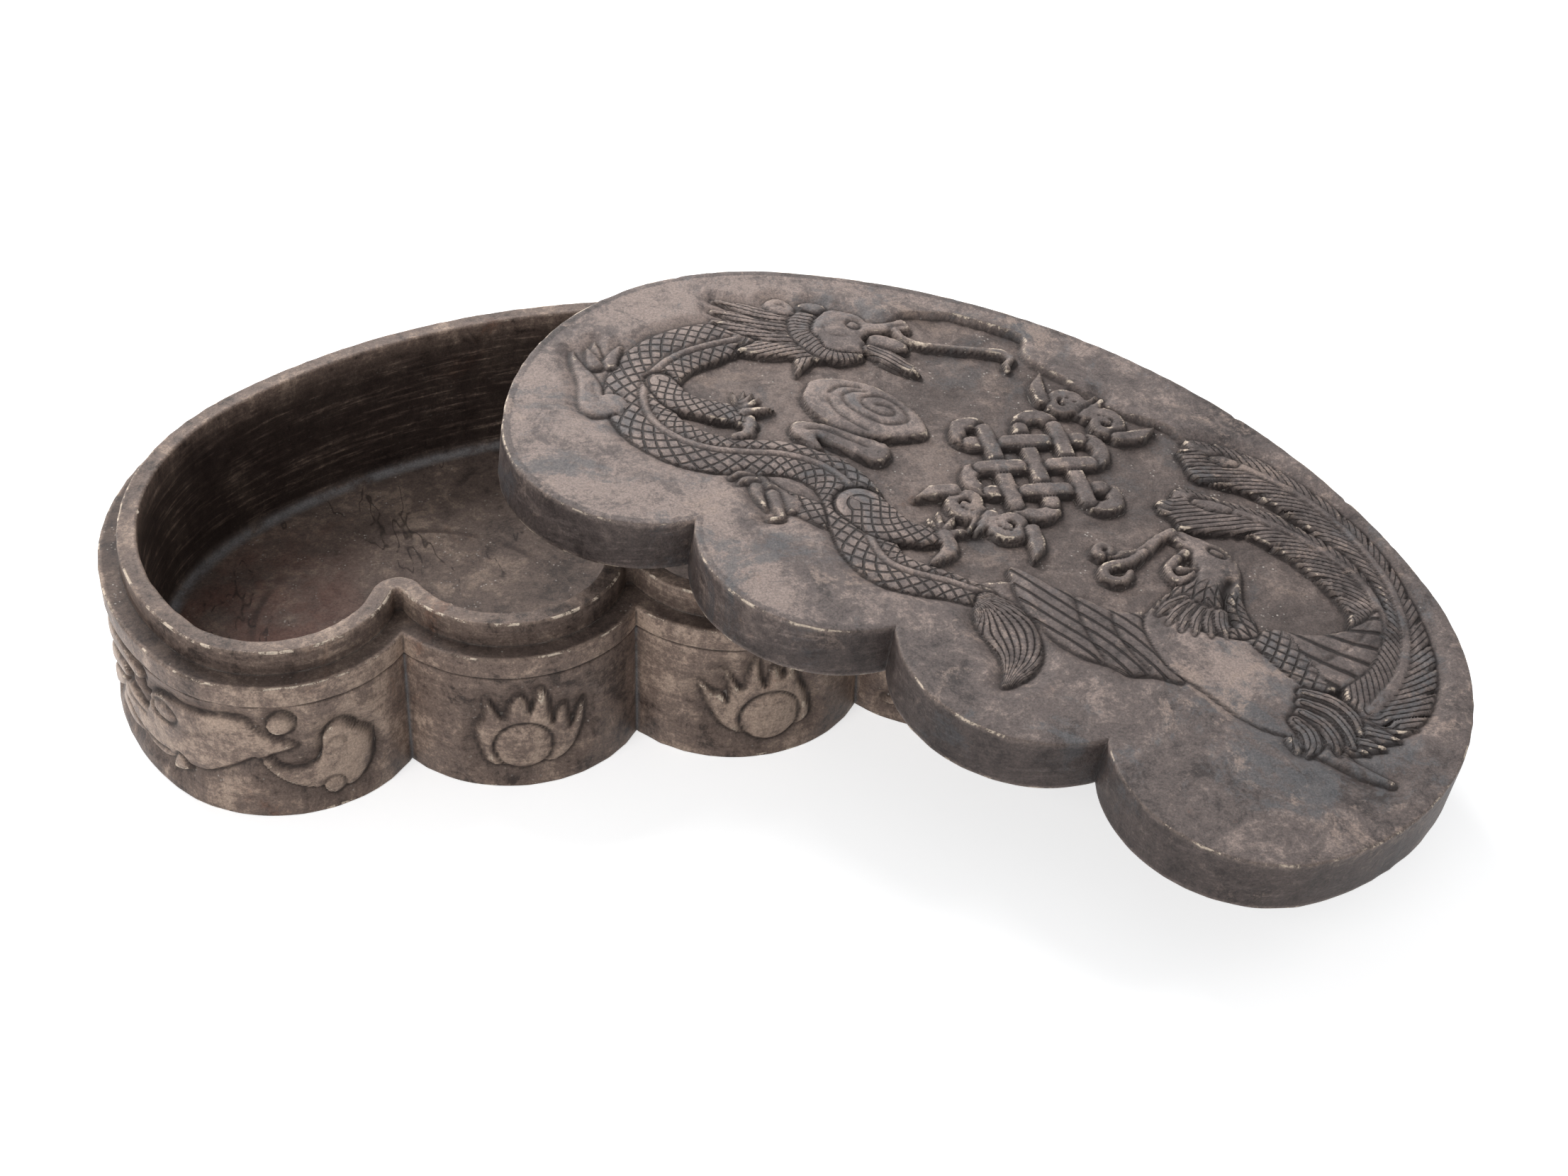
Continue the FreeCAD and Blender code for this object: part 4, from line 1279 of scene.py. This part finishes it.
def knit(outline, first, cells, numbers):
    """Triangles between a ring, whose points start at a number, and the border of the kept cells."""
    padded = np.pad(cells, 1)
    corners = [padded[1:, 1:], padded[:-1, 1:], padded[1:, :-1], padded[:-1, :-1]]
    touched = np.logical_or.reduce(corners) & ~np.logical_and.reduce(corners)
    border = np.argwhere(touched)
    plan = np.column_stack((top.x[touched], top.y[touched]))
    place = {tuple(spot): index for index, spot in enumerate(border)}
    edges = [(index, (index + 1) % len(outline)) for index in range(len(outline))]
    for row, column in border:
        for step in ((0, 1), (1, 0)):
            other = (row + step[0], column + step[1])
            if other in place:
                sides = (padded[row + 1, column + 1], padded[row + 1 - step[1], column + 1 - step[0]])
                if sides[0] != sides[1]:
                    edges.append((place[(row, column)] + len(outline), place[other] + len(outline)))
    points = [Vector(point) for point in np.vstack((outline, plan)).tolist()]
    made, _, faces, origins, _, _ = delaunay_2d_cdt(points, edges, [], 0, 1e-7)
    known = [origin[0] if origin else -1 for origin in origins]
    numbered = np.concatenate((first + np.arange(len(outline)), numbers[touched]))
    kept = []
    for face in faces:
        middle = np.mean([made[corner] for corner in face], axis=0)
        column, row = ((middle - top.low) / top.step).astype(int)
        if not cells[row, column] and inside_ring(outline, middle):
            kept.append([int(numbered[known[corner]]) for corner in face])
    return kept


print("cells within the lid's outline", int(cells_inside(ring(LID_SET_BACK), 0).sum()))

# %% Stations of the lid
EVERY = 2  # the lid's rings take every second point of an outline
LID_DENTS, LID_CHIPS = (0.14, 80, 8), (0.6, 18, 2.4, 2.5)
SHEEN_FULL_AT, SHEEN_NONE_AT, LEFT_SHEEN = -100, 60, 0.75  # painted sheen: the lid's left is painted lighter than its right
CHEST, CHEST_REACH, CHEST_HIGHLIGHT = (62, -15), 11, 1.3  # a painted highlight on the phoenix's chest, which stands high


def painted_sheen():
    # A painted sheen that grows towards the lid's left, and a painted highlight on the phoenix's chest.
    from_chest = np.hypot(top.x - CHEST[0], top.y - CHEST[1])
    sheen_to_left = LEFT_SHEEN * ramp(top.x, SHEEN_NONE_AT, SHEEN_FULL_AT)
    return sheen_to_left + CHEST_HIGHLIGHT * np.exp(-np.square(from_chest / CHEST_REACH))


def make_lid(material):
    grids = {"cut": top.sunk, "raw": top.raw, "rub": painted_sheen(), "lines": top.lines,
             "phase": top.phase, "phase2": top.phase2}
    stack = Stack(LID_SET_BACK, grids, EVERY)
    station = stack.station
    slow = stack.dents(range(40, 44), *LID_DENTS)
    chips = stack.chips(range(50, 54), *LID_CHIPS)
    recess = LEDGE_WIDTH - LIP_CLEARANCE
    under = ((recess + 2.5, RECESS), (recess + 0.4, RECESS), (recess, RECESS - 0.4), (recess, 0.4),
             (recess - 0.3, 0.06), (recess - 0.6, 0.0), (LID_SET_BACK + 0.6, 0.0))
    # The underside is painted darker as shade.
    for inset, height in under:
        station(inset, height, raw=0.7)
    # The plain side, painted darker as shade, and the worn edge of the top.
    station(LID_SET_BACK + 0.16, 0.1, slow[0] + chips[0], raw=0.3)
    station(LID_SET_BACK, 0.45, slow[0] + chips[0] * 0.5)
    for share in (0.0, 0.3, 0.6, 1.0):
        station(LID_SET_BACK, 1.2 + share * (LID_THICKNESS - 2.6),
                slow[0] * (1 - share) + slow[1] * share, raw=0.55 - 0.1 * share)
    station(LID_SET_BACK + 0.02, LID_THICKNESS - 0.55, slow[1] + chips[1] * 0.6)
    station(LID_SET_BACK + 0.16, LID_THICKNESS - 0.17, slow[1] + chips[1])
    station(LID_SET_BACK + 0.5, LID_THICKNESS - 0.02 - slow[2] * 0.4, slow[1] + chips[1] * 0.5)
    for inset in (2.3, 3.0):
        station(inset, LID_THICKNESS - slow[2] * 0.4 * (3.0 - inset))

    # The carved top: whole cells of the relief, knitted to the last ring.
    last = stack.rings[-1][:, :2]
    cells = cells_inside(last, 0.25)
    used = np.zeros_like(top.x, bool)
    corners = (np.s_[:-1, :-1], np.s_[:-1, 1:], np.s_[1:, 1:], np.s_[1:, :-1])
    for corner in corners:
        used[corner] |= cells
    numbers = np.full(top.x.shape, -1)
    first = stack.last_ring()[0]
    numbers[used] = first + len(last) + np.arange(used.sum())
    faces = stack.faces() + np.stack([numbers[corner] for corner in corners], axis=-1)[cells].tolist()
    faces += knit(last, first, cells, numbers)
    carved = np.column_stack((top.x[used], top.y[used], LID_THICKNESS + LID_HEIGHTS[used]))
    joined = {name: np.concatenate((*kept, grids[name][used])) for name, kept in stack.fields.items()}
    points = posed(np.vstack((*stack.rings, carved)), pose)
    thing = make_mesh("carved_lid", points, faces, joined, material)
    add_edges(thing)
    return thing


print("stations of the lid ready")

# %% [markdown]
# ## Stone
# The stone is a dark, fine-grained one: nearly black where it is fresh, grey-brown where it is worn,
# with rusty stains, pale specks, and beige chips along the edges. A picture of stone could be wrapped
# round the pieces, but it would blur close up and show seams. Noise in space has neither fault. Large
# noise gives the patina, smaller noise the mottling. The carved ground is duller and browner, and the
# deepest corners are dusty. Painted shade makes the engraved lines, the hollow's walls, the lid's sides
# and the foot of each figure nearly black, and the corners too, together with dirt. A painted sheen
# lightens the lid's left and the phoenix's chest. The hollow's floor has a rusty stain, the faint ring
# of a dish and hairlines. Both pieces share one recipe with a few numbers of their own.

# %% The stone recipe
GROUND, SHADE_BLACK, CRUMB = (0.085, 0.066, 0.059), (0.015, 0.009, 0.008), (0.5, 0.46, 0.42)
RUST, INK_RING, HAIRLINE = (0.15, 0.062, 0.045), (0.035, 0.022, 0.019), (0.02, 0.012, 0.01)
LINE_SHADE, DIRT_AND_SHADE = (0.014, 0.01, 0.009), (0.012, 0.008, 0.007)
PALE_DUST, GREY_DUST_AND_SHEEN = (0.33, 0.29, 0.26), (0.24, 0.235, 0.24)
RUBBED, CHIP = (0.27, 0.205, 0.16), (0.68, 0.57, 0.46)
DARK_GRIT, PALE_GRIT = (0.72, 0.72, 0.72), (1.25, 1.22, 1.2)
RUST_AT, RING_AT = (-0.088, -0.005, 0.006), (-0.046, -0.014, 0.006)
SHEEN, BUMP_STRENGTH, BUMP_HEIGHT = 0.22, 0.75, 0.0004


def make_stone(name, fresh, middle, worn, patches, streaks, stained=False):
    material = bpy.data.materials.new(name)
    material.use_nodes = True
    material.node_tree.nodes.clear()
    tree = Socket(material.node_tree)
    spot = tree.add("TexCoord", output=3)

    def noise(scale, detail=2.0, rough=0.5, where=spot, bend=0.0):
        sockets = {"Vector": where, "Scale": scale, "Detail": detail, "Roughness": rough,
                   "Distortion": bend}
        return tree.add("TexNoise", None, sockets)

    def stretched(scale, turn=(0, 0, 0)):
        return tree.add("Mapping", None, {"Vector": spot, "Scale": scale, "Rotation": turn})

    def field(key):
        return tree.add("Attribute", {"attribute_name": key}, output=2)

    def distance_to(place):
        return tree.add("VectorMath", {"operation": "DISTANCE"}, {0: spot, 1: place}, output=1)

    def engraved(phase):
        """1 where a phase passes a whole number."""
        return 1 - phase.maths("PINGPONG", phase, 0.5).between(0.04, 0.16)

    names = ("cut", "raw", "edge", "nook", "lines", "rub", "dust")
    cut, raw, edge, nook, lines, rub, dust = (field(name) for name in names)
    cloud = noise(26, 3, 0.6, bend=0.6)
    mottle = noise(95, 9, 0.78, bend=0.5)
    fine = noise(560, 7, 0.8)
    grit = noise(1900, 3, 0.75)
    streak = noise(1.0, 6, 0.75, stretched((55, 55, 700)))
    smear = noise(1.0, 4, 0.7, stretched((190, 190, 24)))

    # From fresh to worn, in ragged patches broken up by fine grain, rubbed streaks and smears. Rubbing
    # lightens the tone, and on the lid the same field is a painted sheen on its left and a painted
    # highlight on the phoenix's chest.
    tone = cloud * 0.55 + mottle * 1.0 + fine * 0.6 + streak * streaks + smear * streaks + rub * 0.22
    halfway = (2.15 + 2 * streaks) / 2
    colour = mixed(tone.between(halfway - 0.2, halfway + 0.03), fresh, middle)
    colour = mixed(tone.between(halfway + 0.02, halfway + 0.22), colour, worn)
    for scale, low, shade, strength in patches:
        patch = (noise(scale, 8, 0.72, bend=0.7) * 0.75 + fine * 0.25).between(low, low + 0.07)
        colour = mixed(patch * strength, colour, shade)

    # Cut ground is duller, and has pale crumbs. Painted shade makes the hollow's walls, the lid's sides,
    # the ledge and the steps and cuts of the carving nearly black.
    crumbs = tree.add("TexVoronoi", {"feature": "F1"}, {"Vector": spot, "Scale": 800.0}, output=0)
    crumb = (1 - crumbs.between(0.1, 0.26)) * noise(210, 3).between(0.54, 0.66)
    colour = mixed(cut * 0.45, colour, GROUND)
    colour = mixed(raw * (0.97 - 0.6 * streak.between(0.5, 0.68)), colour, SHADE_BLACK)
    colour = mixed(crumb * (cut * 0.7 + 0.1), colour, CRUMB)

    # The hollow's floor: a rusty stain towards the left, the faint ring of an ink dish and hairlines.
    if stained:
        inside = field("floor")
        rust = (1 - distance_to(RUST_AT).between(0.012, 0.05)) * noise(60, 4, 0.6).between(0.35, 0.6)
        colour = mixed(inside * rust * 0.55, colour, RUST)
        from_ring = distance_to(RING_AT)
        ring_mark = from_ring.between(0.0365, 0.0375) * (1 - from_ring.between(0.0378, 0.0395))
        colour = mixed(inside * ring_mark * noise(45, 3).between(0.4, 0.6) * 0.7, colour, INK_RING)
        wander = noise(1.0, 3, 0.6, stretched((75, 24, 75), (0, 0, 0.3)))
        thin = wander.between(0.486, 0.5) * (1 - wander.between(0.5, 0.514))
        colour = mixed(inside * (thin * noise(42, 5, 0.7).between(0.5, 0.55)) * 0.8, colour, HAIRLINE)

    # Engraved lines, crisp from the phases, painted nearly black as the shade in their fine grooves.
    either = tree.maths("MAXIMUM", engraved(field("phase")), engraved(field("phase2")))
    drawn = either * lines
    colour = mixed(drawn * 0.9, colour, LINE_SHADE)

    # Corners are painted nearly black, partly as dirt and partly as painted shade, with pale dusty flecks
    # in the deepest; rubbed edges, with pale chips on the sharpest.
    colour = mixed(nook * 0.85, colour, DIRT_AND_SHADE)
    dusty = nook.between(0.8, 1.0) * noise(160, 4, 0.7).between(0.48, 0.62)
    colour = mixed(dusty * 0.55, colour, PALE_DUST)
    # Grey dusting in the wall's creases, and a pale line along the hollow's sweep that is partly dusting
    # and partly painted sheen.
    colour = mixed(dust * noise(120, 5, 0.75).between(0.3, 0.55) * 0.75, colour, GREY_DUST_AND_SHEEN)
    colour = mixed(edge * fine.between(0.3, 0.6) * 0.5, colour, RUBBED)
    chipped = edge.between(0.2, 0.6) * noise(170, 6, 0.78).between(0.52, 0.57)
    colour = mixed(chipped, colour, CHIP)
    speckle = mixed(grit.between(0.3, 0.7), DARK_GRIT, PALE_GRIT)
    colour = mixed(1.0, colour, speckle, "MULTIPLY")

    roughness = 0.27 + mottle * 0.2 + cut * 0.15 + raw * 0.1 + chipped * 0.15 + fine * 0.12
    grained = fine * 0.8 + grit * 0.3 + mottle * 0.9
    height = grained - drawn * 1.6 - (streak + smear) * (0.5 * streaks) - chipped * 0.5
    bump = tree.add("Bump", None, {"Strength": BUMP_STRENGTH, "Distance": BUMP_HEIGHT, "Height": height})
    shader = tree.add("BsdfPrincipled", None, {"Base Color": colour, "Roughness": roughness,
                                               "Normal": bump, "Specular IOR Level": SHEEN})
    tree.add("OutputMaterial", None, {"Surface": shader})
    return material


# The patches are rusty and pale on the box, and grey, pale and rusty on the lid: how fine the noise is,
# from which value it shows, its colour and its strength.
BOX_PATCHES = [(30, 0.58, (0.2, 0.085, 0.045), 0.35), (40, 0.6, (0.36, 0.27, 0.21), 0.3)]
LID_PATCHES = [(36, 0.52, (0.1, 0.107, 0.116), 0.65), (44, 0.54, (0.37, 0.285, 0.24), 0.65),
               (27, 0.6, (0.21, 0.1, 0.055), 0.5)]
BASE_STONE = make_stone("dark_stone", (0.04, 0.027, 0.022), (0.19, 0.138, 0.113), (0.43, 0.325, 0.257),
                        BOX_PATCHES, streaks=0.32, stained=True)
LID_STONE = make_stone("worn_stone", (0.047, 0.037, 0.035), (0.138, 0.111, 0.103), (0.315, 0.25, 0.222),
                       LID_PATCHES, streaks=0.1)
for stone in (BASE_STONE, LID_STONE):
    print(stone.name, "has", len(stone.node_tree.nodes), "nodes")

# %% [markdown]
# ## Both pieces in place
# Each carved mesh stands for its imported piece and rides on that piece's body. They could be joined
# into one mesh, but then the lid couldn't lift. The printed room is how far each mesh keeps inside the
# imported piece's box.

# %% The box and its lid
PIECES = ((make_base, BASE_STONE, "box_base", "base"),
          (make_lid, LID_STONE, "box_lid", "lid"))
for make, material, node, body in PIECES:
    piece = make(material)
    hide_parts(node)
    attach(piece, body)
    body + "_stone"
    corners = np.array([corner.co for corner in piece.data.vertices]) / MM
    low, high = frame_box(node)
    print(piece.name, "faces", len(piece.data.polygons), "room", np.round(corners.min(0) - low, 2),
          np.round(high - corners.max(0), 2), "mm")
